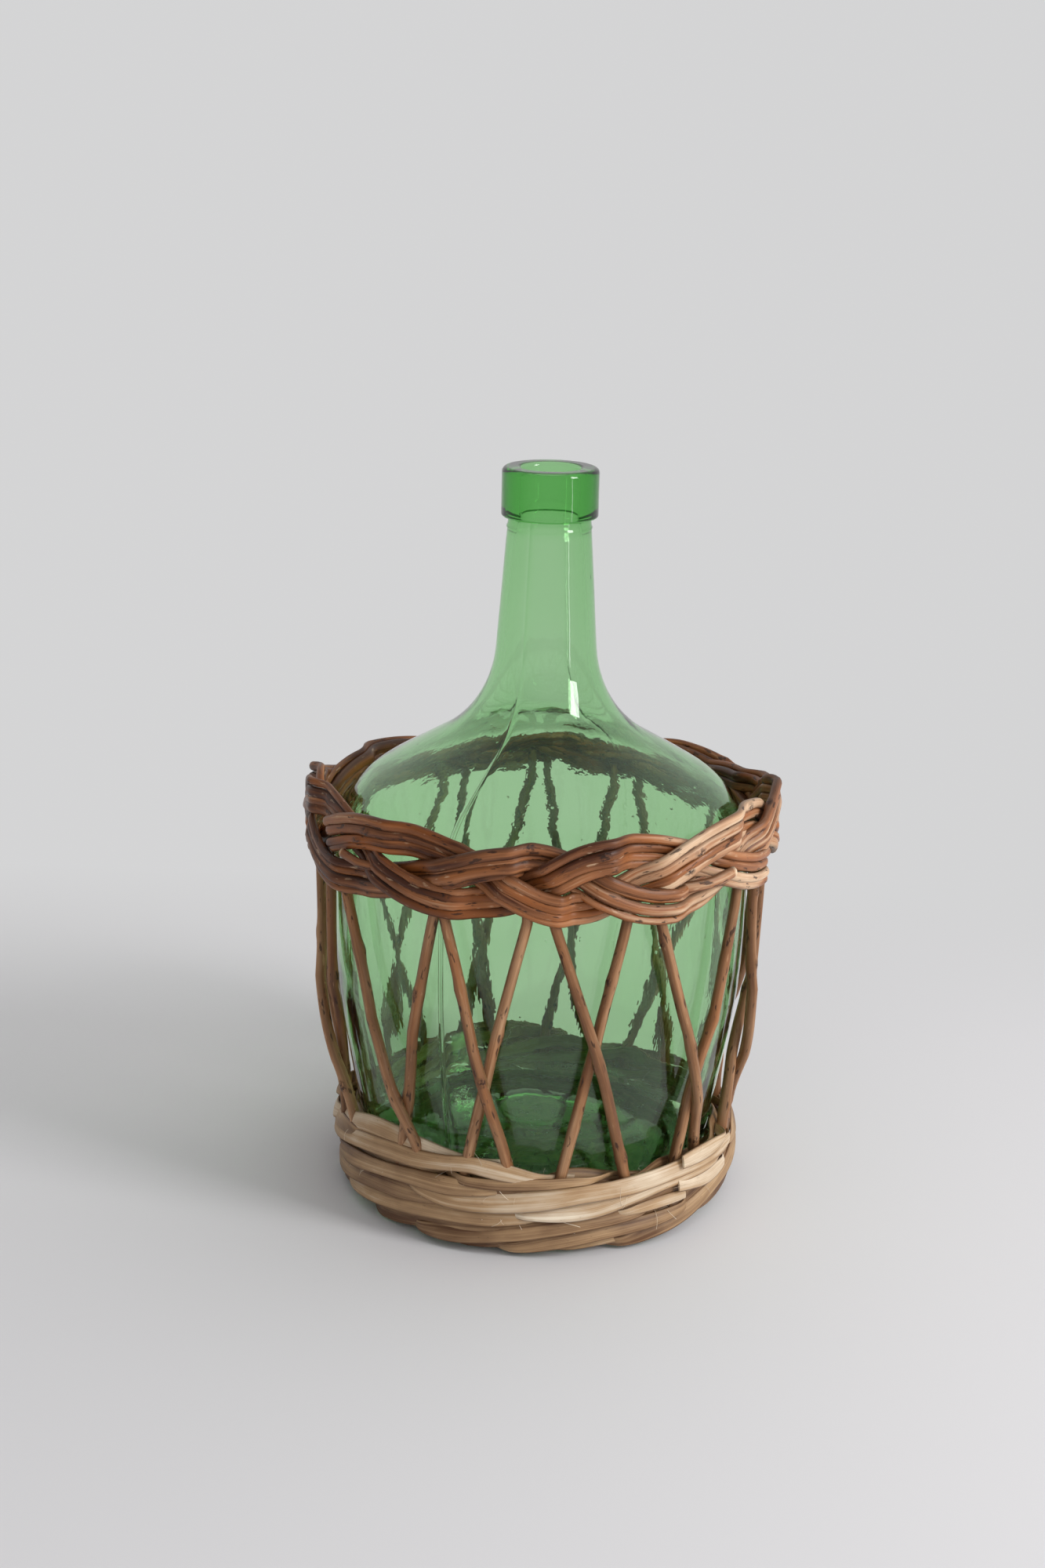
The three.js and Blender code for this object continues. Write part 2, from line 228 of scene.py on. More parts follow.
def plus(a, b):
    return maths("ADD", a, b)


def minus(a, b):
    return maths("SUBTRACT", a, b)


def divide(a, b):
    return maths("DIVIDE", a, b)


def greatest(first, *others):
    for other in others:
        first = maths("MAXIMUM", first, other)
    return first


print("node helpers ready")

# %% Words for vectors and patterns


def vectors(operation, a, b=(0, 0, 0), output="Vector"):
    return add(a.id_data, "ShaderNodeVectorMath", {0: a, 1: b}, operation=operation).outputs[output]


def combine(*parts):
    return made(tree_of(parts), "ShaderNodeCombineXYZ", dict(enumerate(parts)))


def separate(vector):
    return add(vector.id_data, "ShaderNodeSeparateXYZ", {0: vector}).outputs


def remap(value, low, high, to_low=0.0, to_high=1.0):
    """Map a value from one range to another, and stop at its ends."""
    inputs = dict(enumerate((value, low, high, to_low, to_high)))
    return made(value.id_data, "ShaderNodeMapRange", inputs)


def noise_of(where, detail, roughness):
    inputs = {"Vector": where, "Scale": 1.0, "Detail": detail, "Roughness": roughness}
    return made(where.id_data, "ShaderNodeTexNoise", inputs)


def varied(value, *patterns):
    """Lay patterns on a value, each as (pattern, strength); where one is a half, it does nothing."""
    for pattern, strength in patterns:
        value = maths("MULTIPLY_ADD", minus(pattern, 0.5), strength, value)
    return value


print("vector and pattern helpers ready")

# %% [markdown]
# ## Helpers for Geometry Nodes
# Every Geometry Nodes tree here is given a mesh, a few named sizes and a material. Its modifier could stay
# on the object, but a plain mesh is easier to use elsewhere, so a tree is run once and only the mesh that
# comes out is kept. Willow trees are fed with routes: chains of bare edges whose points carry what the
# tree needs to know.

# %% Words for Geometry Nodes


def named(tree, name, data_type="FLOAT"):
    return made(tree, "GeometryNodeInputNamedAttribute", {0: name}, data_type=data_type)


def store(geometry, name, value, data_type="FLOAT"):
    """Keep a value on the points, under a name that a material can read."""
    inputs = {"Geometry": geometry, "Name": name, "Value": value}
    settings = {"data_type": data_type, "domain": "POINT"}
    return made(geometry.id_data, "GeometryNodeStoreNamedAttribute", inputs, **settings)


def moved(geometry, **inputs):
    """Set each point's Position, or push it by an Offset."""
    return made(geometry.id_data, "GeometryNodeSetPosition", {"Geometry": geometry, **inputs})


def ring(tree, points, radius):
    return made(tree, "GeometryNodeCurvePrimitiveCircle", {0: points, "Radius": radius})


def facing_line(routes):
    """Routes as curves that are turned the way their points face."""
    tree = routes.id_data
    line = made(tree, "GeometryNodeMeshToCurve", {0: routes})
    facing = named(tree, "facing", "FLOAT_VECTOR")
    return made(tree, "GeometryNodeSetCurveNormal", {0: line, "Normal": facing}, mode="FREE")


def sweep(line, outline, width=1.0):
    inputs = {0: line, 1: outline, "Scale": width, "Fill Caps": True}
    return made(line.id_data, "GeometryNodeCurveToMesh", inputs)


print("words for Geometry Nodes ready")

# %% Start, end and run a tree


def new_geometry_tree(name, sizes):
    """A tree with a geometry, named sizes with their usual values, and a material."""
    tree = bpy.data.node_groups.new(name, "GeometryNodeTree")

    def offer(label, kind, way="INPUT"):
        return tree.interface.new_socket(label, in_out=way, socket_type="NodeSocket" + kind)

    offer("Geometry", "Geometry")
    for label, value in sizes.items():
        offer(label, "Int" if isinstance(value, int) else "Float").default_value = value
    offer("Material", "Material")
    offer("Geometry", "Geometry", "OUTPUT")
    return tree, add(tree, "NodeGroupInput").outputs


def end_tree(geometry, material):
    """Close a tree as every one here closes: real faces, smooth shading, a material, and out."""
    tree = geometry.id_data
    real = made(tree, "GeometryNodeRealizeInstances", {0: geometry})
    shaded = made(tree, "GeometryNodeSetShadeSmooth", {0: real})
    dressed = made(tree, "GeometryNodeSetMaterial", {"Geometry": shaded, "Material": material})
    add(tree, "NodeGroupOutput", {0: dressed})
    return tree


def grow(source, tree, name, values):
    """Run a tree on an object with these named values, and keep the result as a plain mesh object."""
    modifier = source.modifiers.new(tree.name, "NODES")
    modifier.node_group = tree
    for item in tree.interface.items_tree:
        if item.in_out == "INPUT" and item.name in values:
            modifier[item.identifier] = values[item.name]
    bpy.context.view_layer.update()
    graph = bpy.context.evaluated_depsgraph_get()
    mesh = bpy.data.meshes.new_from_object(source.evaluated_get(graph))
    mesh.name = name
    piece = show(name, mesh)
    source.modifiers.remove(modifier)
    bpy.data.objects.remove(source)
    faces = sum(len(polygon.vertices) - 2 for polygon in mesh.polygons)
    print(name + ":", len(mesh.vertices), "points,", faces, "triangles")
    return piece


print("tree helpers ready")

# %% Routes
ROUTE_SHIFT = 1.7


def route_object(name, routes):
    """A mesh of bare edges, one chain a route.

    A route gives (point, facing, wide, tone): where it is, which way its face looks, its width as a
    share of the usual one, and how dark or pale it is there. Lengths along it start at a place of its
    own, so that no two routes have the same grain.
    """
    rows, edges = [], []
    for number, route in enumerate(routes):
        length = ROUTE_SHIFT * number
        for step, (point, *rest) in enumerate(route):
            if step:
                edges.append((len(rows) - 1, len(rows)))
                length += (point - rows[-1][0]).length
            rows.append((point, *rest, length))
    points, facing, wide, tone, along = zip(*rows)
    mesh = bpy.data.meshes.new(name)
    mesh.from_pydata(points, edges, [])
    parts = [part for face in facing for part in face]
    mesh.attributes.new("facing", "FLOAT_VECTOR", "POINT").data.foreach_set("vector", parts)
    for label, values in (("wide", wide), ("tone", tone), ("along", along)):
        mesh.attributes.new(label, "FLOAT", "POINT").data.foreach_set("value", values)
    return show(name, mesh)


print("routes start", ROUTE_SHIFT, "metres of grain apart")

# %% [markdown]
# ## Willow that is left round
# Stakes and border rods are whole willow shoots. Seen close, such a rod isn't a clean tube: it swells and
# thins, and every hand's width a bud has left a small lump with a dark scar. A curve with a round bevel
# would be a tube in one step, but nothing more than that. The tree turns each route into a tube, pushes
# the lumps out and keeps on every point where it is along and around the rod, so that the grain of the
# material can follow the bend.

# %% Tree for a round rod


def make_rod_tree():
    sizes = {
        "Sides": 14,
        "Diameter": 0.0046,
        "Flatness": 0.0,
        "Lump Height": 0.0002,
        "Lump Length": 0.03,
        "Bud Spacing": 0.07,
        "Bud Height": 0.0006,
        "Bud Length": 0.0035,
        "Seed": 1,
    }
    tree, given = new_geometry_tree("round willow rod", sizes)
    position = made(tree, "GeometryNodeInputPosition")
    outline = store(ring(tree, given["Sides"], 0.5), "around", position, "FLOAT_VECTOR")
    thin = minus(1.0, given["Flatness"])
    broad = plus(1.0, given["Flatness"])
    oval = vectors("MULTIPLY", position, combine(thin, broad, 1.0))
    width = times(named(tree, "wide"), given["Diameter"])
    tube = sweep(facing_line(given["Geometry"]), moved(outline, Position=oval), width)

    along = named(tree, "along")
    around = named(tree, "around", "FLOAT_VECTOR")
    seed = times(given["Seed"], 13.7)
    lump_place = combine(*separate(around)[:2], divide(along, given["Lump Length"]))
    lump = noise_of(vectors("ADD", lump_place, seed), 2.0, 0.5)
    lump = times(minus(lump, 0.5), given["Lump Height"])

    turn = divide(along, given["Bud Spacing"])
    number = plus(maths("FLOOR", turn), seed)
    chance = made(tree, "ShaderNodeTexWhiteNoise", {"W": number}, noise_dimensions="1D")
    shift = maths("MULTIPLY_ADD", chance, 0.6, 0.2)
    away = times(minus(maths("FRACT", turn), shift), given["Bud Spacing"])
    away = divide(away, given["Bud Length"])
    near = maths("EXPONENT", times(times(away, away), -1.0))
    heading = times(chance, 97.0)
    bud_side = combine(maths("COSINE", heading), maths("SINE", heading), 0.0)
    bud = times(near, remap(vectors("DOT_PRODUCT", around, bud_side, "Value"), 0.2, 0.5))
    swelling = times(maths("MULTIPLY_ADD", near, 0.3, bud), given["Bud Height"])

    normal = made(tree, "GeometryNodeInputNormal")
    push = vectors("MULTIPLY", normal, plus(lump, swelling))
    rod = store(moved(tube, Offset=push), "bud", bud)
    grain = vectors("MULTIPLY", around, combine(width, width, 0.0))
    grain = vectors("ADD", grain, combine(0.0, 0.0, along))
    return end_tree(store(rod, "grain", grain, "FLOAT_VECTOR"), given["Material"])


rod_tree = make_rod_tree()
print("tree:", rod_tree.name, [item.name for item in rod_tree.interface.items_tree])

# %% [markdown]
# ## The finish of willow rods
# Stakes were steamed before they were peeled, which leaves them brown. Border rods vary more: red brown in
# the shade, orange where the skin rubbed off, pale buff where the light has bleached them, and paler still
# towards the window, where light is painted into their tone. A picture of bark would look the same on every
# rod, so the finish is made of noise that is drawn out along the grain. One function makes both finishes
# from three browns and an orange. Fine streaks follow the grain, scars are nearly black, scuffs are paler,
# and shade is painted along the sides, where rods touch each other.

# %% Words for materials


def new_material(name):
    material = bpy.data.materials.new(name)
    material.use_nodes = True
    material.node_tree.nodes.clear()
    return material, material.node_tree


def attribute(tree, name, output="Fac"):
    return add(tree, "ShaderNodeAttribute", attribute_name=name).outputs[output]


def ramp(value, stops):
    node = add(value.id_data, "ShaderNodeValToRGB", {0: value})
    elements = node.color_ramp.elements
    while len(elements) < len(stops):
        elements.new(1.0)
    for element, (position, colour) in zip(elements, stops):
        element.position = position
        element.color = (*colour, 1)
    return node.outputs[0]


def layered(colour, *layers):
    """Lay other colours on a colour, each as (mask, strength, colour)."""
    for mask, strength, other in layers:
        inputs = {0: times(mask, strength), 6: colour, 7: (*other, 1)}
        colour = add(mask.id_data, "ShaderNodeMix", inputs, data_type="RGBA").outputs[2]
    return colour


def stretched(where, scales):
    """Scale a pattern's coordinates along each axis, so that it draws out."""
    return made(where.id_data, "ShaderNodeMapping", {"Vector": where, "Scale": scales})


def streaks(where, scales, detail, roughness=0.55):
    return noise_of(stretched(where, scales), detail, roughness)


print("words for materials ready")

# %% Material for rods
# Nearly black: real scars and flecks, and also painted shade along the rods' sides.
SCAR_AND_SHADE = (0.028, 0.011, 0.006)
ORANGE = (0.4, 0.12, 0.022)
CUT_WOOD = (0.8, 0.64, 0.44)
ROD_SHADED_SIDES = (0.0012, 0.0025)
ROD_SHEEN = 0.34
FIBRE_DEPTH = 0.0005


def wood_surface(colour, fibre, height, roughness, relief, sheen=0.5):
    """Close a wood's material: its fibres make it rough between two limits and raise its surface."""
    tree = colour.id_data
    bump = {"Strength": relief, "Distance": FIBRE_DEPTH, "Height": height}
    inputs = {
        "Base Color": colour,
        "Roughness": remap(fibre, 0.3, 0.7, *roughness),
        "Normal": made(tree, "ShaderNodeBump", bump),
        "Specular IOR Level": sheen,
    }
    add(tree, "ShaderNodeOutputMaterial", {0: made(tree, "ShaderNodeBsdfPrincipled", inputs)})


def rod_finish(name, dark, middle, pale, bareness, side_shade_strength):
    material, tree = new_material(name)
    grain = attribute(tree, "grain", "Vector")
    streak = streaks(grain, (520, 520, 12), 5.0, 0.65)
    blotch = streaks(grain, (120, 120, 30), 3.0)
    shade = varied(attribute(tree, "tone"), (streak, 1.2), (blotch, 0.8))
    colour = ramp(shade, [(0.05, dark), (0.45, middle), (0.85, pale), (1.0, CUT_WOOD)])
    rubbed = remap(streaks(grain, (60, 60, 14), 2.0), 0.5, 0.62)
    # Painted shade: rods are darkened along their sides, where they touch each other.
    side_shade_mask = remap(maths("ABSOLUTE", separate(grain)[1]), *ROD_SHADED_SIDES)
    fleck = streaks(grain, (420, 420, 110), 3.0)
    dark_fleck = remap(fleck, 0.615, 0.66)
    pale_fleck = remap(fleck, 0.36, 0.28)
    bud = remap(attribute(tree, "bud"), 0.35, 0.8)
    ragged = remap(streaks(grain, (1400, 1400, 700), 2.0), 0.35, 0.6)
    colour = layered(colour, (rubbed, bareness, ORANGE), (side_shade_mask, side_shade_strength, SCAR_AND_SHADE))
    colour = layered(colour, (dark_fleck, 0.8, SCAR_AND_SHADE), (pale_fleck, 0.5, pale), (bud, ragged, SCAR_AND_SHADE))
    height = maths("MULTIPLY_ADD", dark_fleck, -0.4, streak)
    wood_surface(colour, streak, height, (0.3, 0.52), 0.6, ROD_SHEEN)
    return material


stake_browns = (0.11, 0.035, 0.012), (0.29, 0.138, 0.06), (0.52, 0.3, 0.16)
border_browns = (0.07, 0.019, 0.006), (0.34, 0.13, 0.048), (0.72, 0.5, 0.32)
brown_willow = rod_finish("brown_willow", *stake_browns, bareness=0.3, side_shade_strength=0.35)
border_willow = rod_finish("border_willow", *border_browns, bareness=0.6, side_shade_strength=0.75)
print("rod finishes:", brown_willow.name, border_willow.name)

# %% [markdown]
# ## The stakes
# Twelve pairs of stakes hold border and foot together. A pair leaves the border side by side, spreads on
# the way down and crosses its neighbours, always with the stake that leans left outside. Each could be a
# curve drawn by hand, but with a rule all pairs cross in the same way. No weaver keeps an even spacing, so
# the ones in front are shifted by a few degrees at the foot and at the top, to where the photograph shows
# them. A route is worked out for each, then the rod tree makes all of them at once.

# %% Where a stake starts and ends
PLAIT_WAVES = 4
BAND_TOP = 38.7
LEAN_TOP = 160.9
EVEN_PAIR_ANGLE = 1.3
UNEVENNESS = 4.2
FOOT_TWIST = 18.8
FOOT_SPREAD = 13
FOOT_SPREAD_CHANGE = 4.2
FOOT_SPREAD_WAVES = 3
WIDEST_FOOT_ANGLE = 19
TUCK_LEFT = 3.6
TUCK_RIGHT = 10.1
LEFT_SHIFTS = {10: (5, 1), 11: (-1.5, -2), 0: (-0.8, 0), 1: (-2, -1.5)}
RIGHT_SHIFTS = {11: (3, 3), 0: (-4, -1.8), 1: (-5, -2.6), 2: (-0.5, -3)}


def uneven(angle):
    return angle - UNEVENNESS * sine(PLAIT_WAVES * (angle - EVEN_PAIR_ANGLE))


def stick_angle(k):
    return EVEN_PAIR_ANGLE + FOOT_TWIST + PAIR_ANGLE * k


def spread_at_foot(k):
    from_widest = stick_angle(k) - WIDEST_FOOT_ANGLE
    return FOOT_SPREAD + FOOT_SPREAD_CHANGE * cosine(FOOT_SPREAD_WAVES * from_widest)


def pair_start_angle(k):
    return EVEN_PAIR_ANGLE - (TUCK_LEFT + TUCK_RIGHT) / 2 + PAIR_ANGLE * k


def stake_angles(k, leans_left):
    """Angles of a stake's foot and top."""
    if leans_left:
        foot = stick_angle(k) + spread_at_foot(k) / 2
        tuck, shifts = TUCK_RIGHT, LEFT_SHIFTS
    else:
        foot = stick_angle(k - 1) - spread_at_foot(k - 1) / 2
        tuck, shifts = TUCK_LEFT, RIGHT_SHIFTS
    foot_shift, top_shift = shifts.get(k % PAIRS, (0, 0))
    return foot + foot_shift, uneven(pair_start_angle(k) + tuck) + top_shift


def crossing_height(k):
    left_foot, left_top = stake_angles(k, True)
    right_foot, right_top = stake_angles(k + 1, False)
    foot_gap = left_foot - right_foot
    top_gap = right_top - left_top
    return lerp(BAND_TOP, LEAN_TOP, foot_gap / (foot_gap + top_gap))


print("the first pair crosses", round(crossing_height(0), 1), "mm up")

# %% Routes of the stakes
STAKE_FOOT_RADIUS = 94.65
STAKE_TOP_RADIUS = 105.6
STAKE_TOP_HEIGHT = 173.5
STAKE_DRAW_IN = 1.6
CROSSING_GAP = 6.125
CROSSING_REACH = 33
CROSSING_INNER_SHARE = 0.3
STAKE_STEPS = 64
STAKE_FOOT_HEIGHT = 5
LEAN_START = 29
LEAN_END = 168
FOOT_INSET = 4.0
BACK_START = 80
BACK_REACH = 34
STAKE_RISE_BEHIND = 8
STAKE_FATNESS = 1.24
STAKE_TAPER = 0.18
STAKE_TONE = 0.45


def backness(angle):
    """None round the front and one round the back, where the border is pulled tight."""
    return smooth((abs(turn_between(0, angle)) - BACK_START) / BACK_REACH)


def bottle_radius_at(height):
    return lerp(FOOT_RADIUS, BODY_RADIUS, clamp((height - BOTTLE_FOOT) / BELLY_HEIGHT, 0, 1))


def foot_inset(height):
    """The weave draws in towards the mat below the top of the band."""
    return FOOT_INSET * clamp(1 - height / BAND_TOP, 0, 1) ** 1.6


def stake_route(k, leans_left):
    foot_angle, top_angle = stake_angles(k, leans_left)
    crossing = crossing_height(k if leans_left else k - 1)
    side_step = 1 - CROSSING_INNER_SHARE if leans_left else -CROSSING_INNER_SHARE
    foot_stand = STAKE_FOOT_RADIUS - bottle_radius_at(BAND_TOP)
    top_stand = STAKE_TOP_RADIUS - bottle_radius_at(LEAN_TOP)
    top_height = STAKE_TOP_HEIGHT + STAKE_RISE_BEHIND * backness(top_angle)
    number = 2 * k + leans_left
    tone = STAKE_TONE + wander(number, 0.3, 0.28)
    for way in shares(STAKE_STEPS):
        height = lerp(STAKE_FOOT_HEIGHT, top_height, way)
        share = clamp((height - BAND_TOP) / (LEAN_TOP - BAND_TOP), 0, 1)
        lean = clamp((height - LEAN_START) / (LEAN_END - LEAN_START), 0, 1)
        ease = min(1, 4 * share, 4 * (1 - share))
        stand = lerp(foot_stand, top_stand, share) - STAKE_DRAW_IN * sine(180 * share)
        stand += side_step * CROSSING_GAP * (ease * bell((height - crossing) / CROSSING_REACH))
        radius = bottle_radius_at(clamp(height, BAND_TOP, LEAN_TOP)) + stand - foot_inset(height)
        bend = wander(number, height / 45, 0.35) * sine(180 * share)
        angle = lerp(foot_angle, top_angle, lean) + bend
        wide = STAKE_FATNESS - STAKE_TAPER * height / STAKE_TOP_HEIGHT
        wide += wander(number + 40, height / 60, 0.05)
        yield rod_point(angle, radius, height, wide, tone + wander(number, height / 70, 0.1))


stake_routes = [stake_route(k, left) for k in range(PAIRS) for left in (True, False)]
print("stakes:", len(stake_routes), "routes")

# %% Stakes
STAKE_DIAMETER = 4.6
stake_sizes = {"Sides": 12, "Diameter": STAKE_DIAMETER * MM, "Bud Spacing": 0.062, "Seed": 3}
stake_sizes["Material"] = brown_willow
stakes = grow(route_object("stake_routes", stake_routes), rod_tree, "willow_stakes", stake_sizes)
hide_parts(*[f"stake_{side}_{k + 1}" for k in range(PAIRS) for side in ("left", "right")])
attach(stakes, "basket")

# %% [markdown]
# ## The border
# Round the shoulder three strands are plaited. A strand swings up and down like a wave and changes from the
# outside to the inside of the basket where it meets another. A strand could be one thick tube with grooves
# drawn on it, but only single rods shade each other as a plait does. The CAD strand has three even rods. A
# real one has rods of every thickness, thick at the butt and thin at the tip, that drift apart and close up
# again, so four uneven ones are laid in the same place, each with its own slow wander. Round the back the
# weaver pulled the plait tight: there it is about half as tall, with its rods lying two deep.

# %% Swing of a strand
PLAIT_RADIUS = 107.73
PLAIT_SWING = 14.24
PLAIT_DEPTH = 2.88
PLAIT_LOW_ANGLE = 8.2
STRAND_SHARPNESS = 2.2
STRAND_STEEPNESS = 1.5
CORNER_SOFTNESS = 4
SLOPE_REACH = 2.5


def strand_phase(strand, angle):
    return PLAIT_WAVES * (angle - PLAIT_LOW_ANGLE) - 360 * strand / STRANDS


def strand_height(strand, angle):
    """A strand runs level at bottom and top and straight between, with soft corners."""
    fall = math.asin(clamp(cosine(strand_phase(strand, angle)), -1, 1)) / (math.pi / 2)
    fall *= STRAND_STEEPNESS
    return -PLAIT_SWING * fall / (1 + abs(fall) ** CORNER_SOFTNESS) ** (1 / CORNER_SOFTNESS)


def strand_at(strand, angle):
    """Height above the middle, slope and depth of a strand at an angle before the crowding."""
    before, after = angle - SLOPE_REACH, angle + SLOPE_REACH
    run = PLAIT_RADIUS * math.radians(uneven(after) - uneven(before))
    rise = strand_height(strand, after) - strand_height(strand, before)
    side = clamp(STRAND_SHARPNESS * sine(2 * strand_phase(strand, angle)), -1, 1)
    return strand_height(strand, angle), math.atan(rise / run), -PLAIT_DEPTH * sine(90 * side)


print("a strand swings to", round(strand_height(0, PLAIT_LOW_ANGLE), 1), "mm from the middle")

# %% Tightness and tone of the border
TIGHTNESS = (0.2, -16, 24)
BACK_TIGHTNESS = 0.5
BORDER_TONE = 0.22
BLEACHING_AND_PAINTED_LIGHT = (0.38, 52, 46)


def tightness(angle):
    """The plait is pulled tighter left of the front, and most of all round the back."""
    return 1 - rise_at(angle, *TIGHTNESS) - BACK_TIGHTNESS * backness(angle)


def border_tone(angle, number):
    """Rods are darkest on the left and paler to the right, part bleaching and part painted light; no two
    alike.
    """
    # Paler round the window side: part bleaching, part painted light.
    tone = BORDER_TONE + rise_at(angle, *BLEACHING_AND_PAINTED_LIGHT)
    return tone + wander(number, 0.4, 0.4) + wander(number, angle / 40, 0.3)


print("tightness at the back:", tightness(180))

# %% Routes of the border
BORDER_MIDDLE = 186.8
BORDER_STEPS = 320
RODS_SHOWN = 4
SHOWN_PITCH = 4.2
ROD_THICKNESS = (1.0, 0.8, 1.14, 0.88)
BUTT_AND_TIP = (1.14, 0.86)
ROD_START = 12.5
ROD_TURN = 359.6
ROD_LIFTS = (-0.4, 0.6)
END_TUCK = 2.5
END_TUCK_ANGLE = 9
BACK_DROP = 1.5
BACK_STACK = 3


def border_route(strand, rod):
    number = RODS_SHOWN * strand + rod
    offset = (rod - (RODS_SHOWN - 1) / 2) * SHOWN_PITCH
    start = PLAIT_LOW_ANGLE + PAIR_ANGLE * (strand + STRANDS * rod) + ROD_START
    thick = ROD_THICKNESS[(rod + strand) % RODS_SHOWN]
    for step in range(BORDER_STEPS + 1):
        turn = ROD_TURN * step / BORDER_STEPS
        angle = start + turn
        height, slope, depth = strand_at(strand, angle)
        drift = offset + wander(number, angle / 30, 2.0)
        shift = math.degrees(drift * math.sin(slope) / PLAIT_RADIUS)
        true_angle = uneven(angle) - shift
        height = (height + drift * math.cos(slope)) * tightness(true_angle)
        behind = backness(true_angle)
        height += BORDER_MIDDLE - BACK_DROP * behind + wander(strand + 90, angle / 36, 2.0)
        lift = ROD_LIFTS[rod % 2] * (1 + BACK_STACK * behind)
        tuck = END_TUCK * (1 - smooth(min(turn, ROD_TURN - turn) / END_TUCK_ANGLE))
        radius = PLAIT_RADIUS + depth + lift + wander(number + 20, angle / 22, 1.2) - tuck
        wide = thick * lerp(*BUTT_AND_TIP, turn / 360) + wander(number + 60, angle / 26, 0.1)
        yield rod_point(true_angle, radius, height, wide, border_tone(true_angle, number))


border_routes = [border_route(strand, rod) for strand in range(STRANDS) for rod in range(RODS_SHOWN)]
print("border:", len(border_routes), "rods")

# %% [markdown]
# New rods are laid in where an old one runs out, and the spare end is cut off with a knife. A few such ends
# show as pale ovals on the outside of the plait. They could be added as discs, but a short route of its own
# for each lets the rod tree make it with the rest.

# %% Cut ends of rods
ROD_ENDS = [(49.6, 183, 19), (-52, 186, -16), (127, 187, 17), (196, 183, -16), (262, 187, 18)]
ROD_END_STEPS = 20
ROD_END_SLOPE = 0.22
ROD_END_STAND = 2.4
ROD_END_WIDTH = 0.9
CUT_PALENESS = 0.6


def rod_end_route(number, end_angle, end_height, reach):
    """From inside the plait to a free end; reach is its angle, negative where it points to the left."""
    wide = ROD_END_WIDTH + wander(number, 0.3, 0.3)
    for share in shares(ROD_END_STEPS):
        angle = end_angle - reach * (1 - share)
        height = end_height - abs(reach) * (1 - share) * ROD_END_SLOPE
        radius = PLAIT_RADIUS + lerp(-PLAIT_DEPTH, PLAIT_DEPTH + ROD_END_STAND, smooth(1.5 * share))
        tone = border_tone(angle, 30 + number) + CUT_PALENESS * (share == 1)
        yield rod_point(angle, radius, height, wide, tone)


border_routes += [rod_end_route(number, *cut) for number, cut in enumerate(ROD_ENDS)]
print("cut ends:", len(ROD_ENDS))

# %% Border
RODS_IN_STRAND = 3
BORDER_DIAMETER = 4.7
border_sizes = {
    "Sides": 14,
    "Diameter": BORDER_DIAMETER * MM,
    "Flatness": 0.1,
    "Lump Height": 0.0004,
    "Lump Length": 0.05,
    "Bud Spacing": 0.075,
    "Bud Height": 0.0007,
    "Seed": 8,
    "Material": border_willow,
}
border = grow(route_object("border_routes", border_routes), rod_tree, "plaited_border", border_sizes)
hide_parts(*[f"border_rod_{s + 1}_{r + 1}" for s in range(STRANDS) for r in range(RODS_IN_STRAND)])
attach(border, "basket")

# %% [markdown]
# ## Willow that is split flat
# The foot and the mat are woven with skeins: shoots split into flat ribbons and shaved. A skein has a
# slightly cupped face, thin edges and long fibres. A rod that is squeezed flat would have the wrong edges,
# so skeins have a tree of their own. It works like the one for rods, with a flat outline instead of a
# circle.

# %% Tree for a flat skein


def make_skein_tree():
    sizes = {
        "Points": 18,
        "Width": 0.0098,
        "Thickness": 0.0016,
        "Cup": 0.0005,
        "Ripple Height": 0.0004,
        "Ripple Length": 0.014,
        "Seed": 1,
    }
    tree, given = new_geometry_tree("flat willow skein", sizes)
    position = made(tree, "GeometryNodeInputPosition")
    x, y, _ = separate(position)
    thick = times(maths("SIGN", x), maths("POWER", maths("ABSOLUTE", x), 0.4))
    thick = times(thick, times(given["Thickness"], 0.5))
    hollow = times(times(y, y), given["Cup"])
    flat = combine(minus(thick, hollow), times(y, times(given["Width"], 0.5)), 0.0)
    outline = moved(ring(tree, given["Points"], 1.0), Position=flat)
    outline = store(outline, "around", position, "FLOAT_VECTOR")
    ribbon = sweep(facing_line(given["Geometry"]), outline, named(tree, "wide"))

    along = named(tree, "along")
    around = named(tree, "around", "FLOAT_VECTOR")
    across = times(separate(around)[1], 180.0)
    seed = times(given["Seed"], 17.3)
    ripple = noise_of(combine(across, seed, divide(along, given["Ripple Length"])), 2.0, 0.5)
    ripple = times(minus(ripple, 0.5), given["Ripple Height"])
    push = vectors("MULTIPLY", named(tree, "facing", "FLOAT_VECTOR"), ripple)
    ribbon = moved(ribbon, Offset=push)
    grain = vectors("ADD", around, combine(0.0, 0.0, along))
    return end_tree(store(ribbon, "grain", grain, "FLOAT_VECTOR"), given["Material"])


skein_tree = make_skein_tree()
print("tree:", skein_tree.name)

# %% [markdown]
# ## The finish of skeins
# Shaved willow is the colour of straw with a hint of pink. Long fibres run its whole length, some pale and
# torn, some grey brown with age, and dust has settled in between. A single noise would look like stone, so
# three are laid on each other, as fibres, stripes and clouds, all drawn out along the skein.

# %% Material for skeins
SKEIN_SHADED_EDGE = (0.0036, 0.0044)
SPECK = (0.09, 0.05, 0.025)


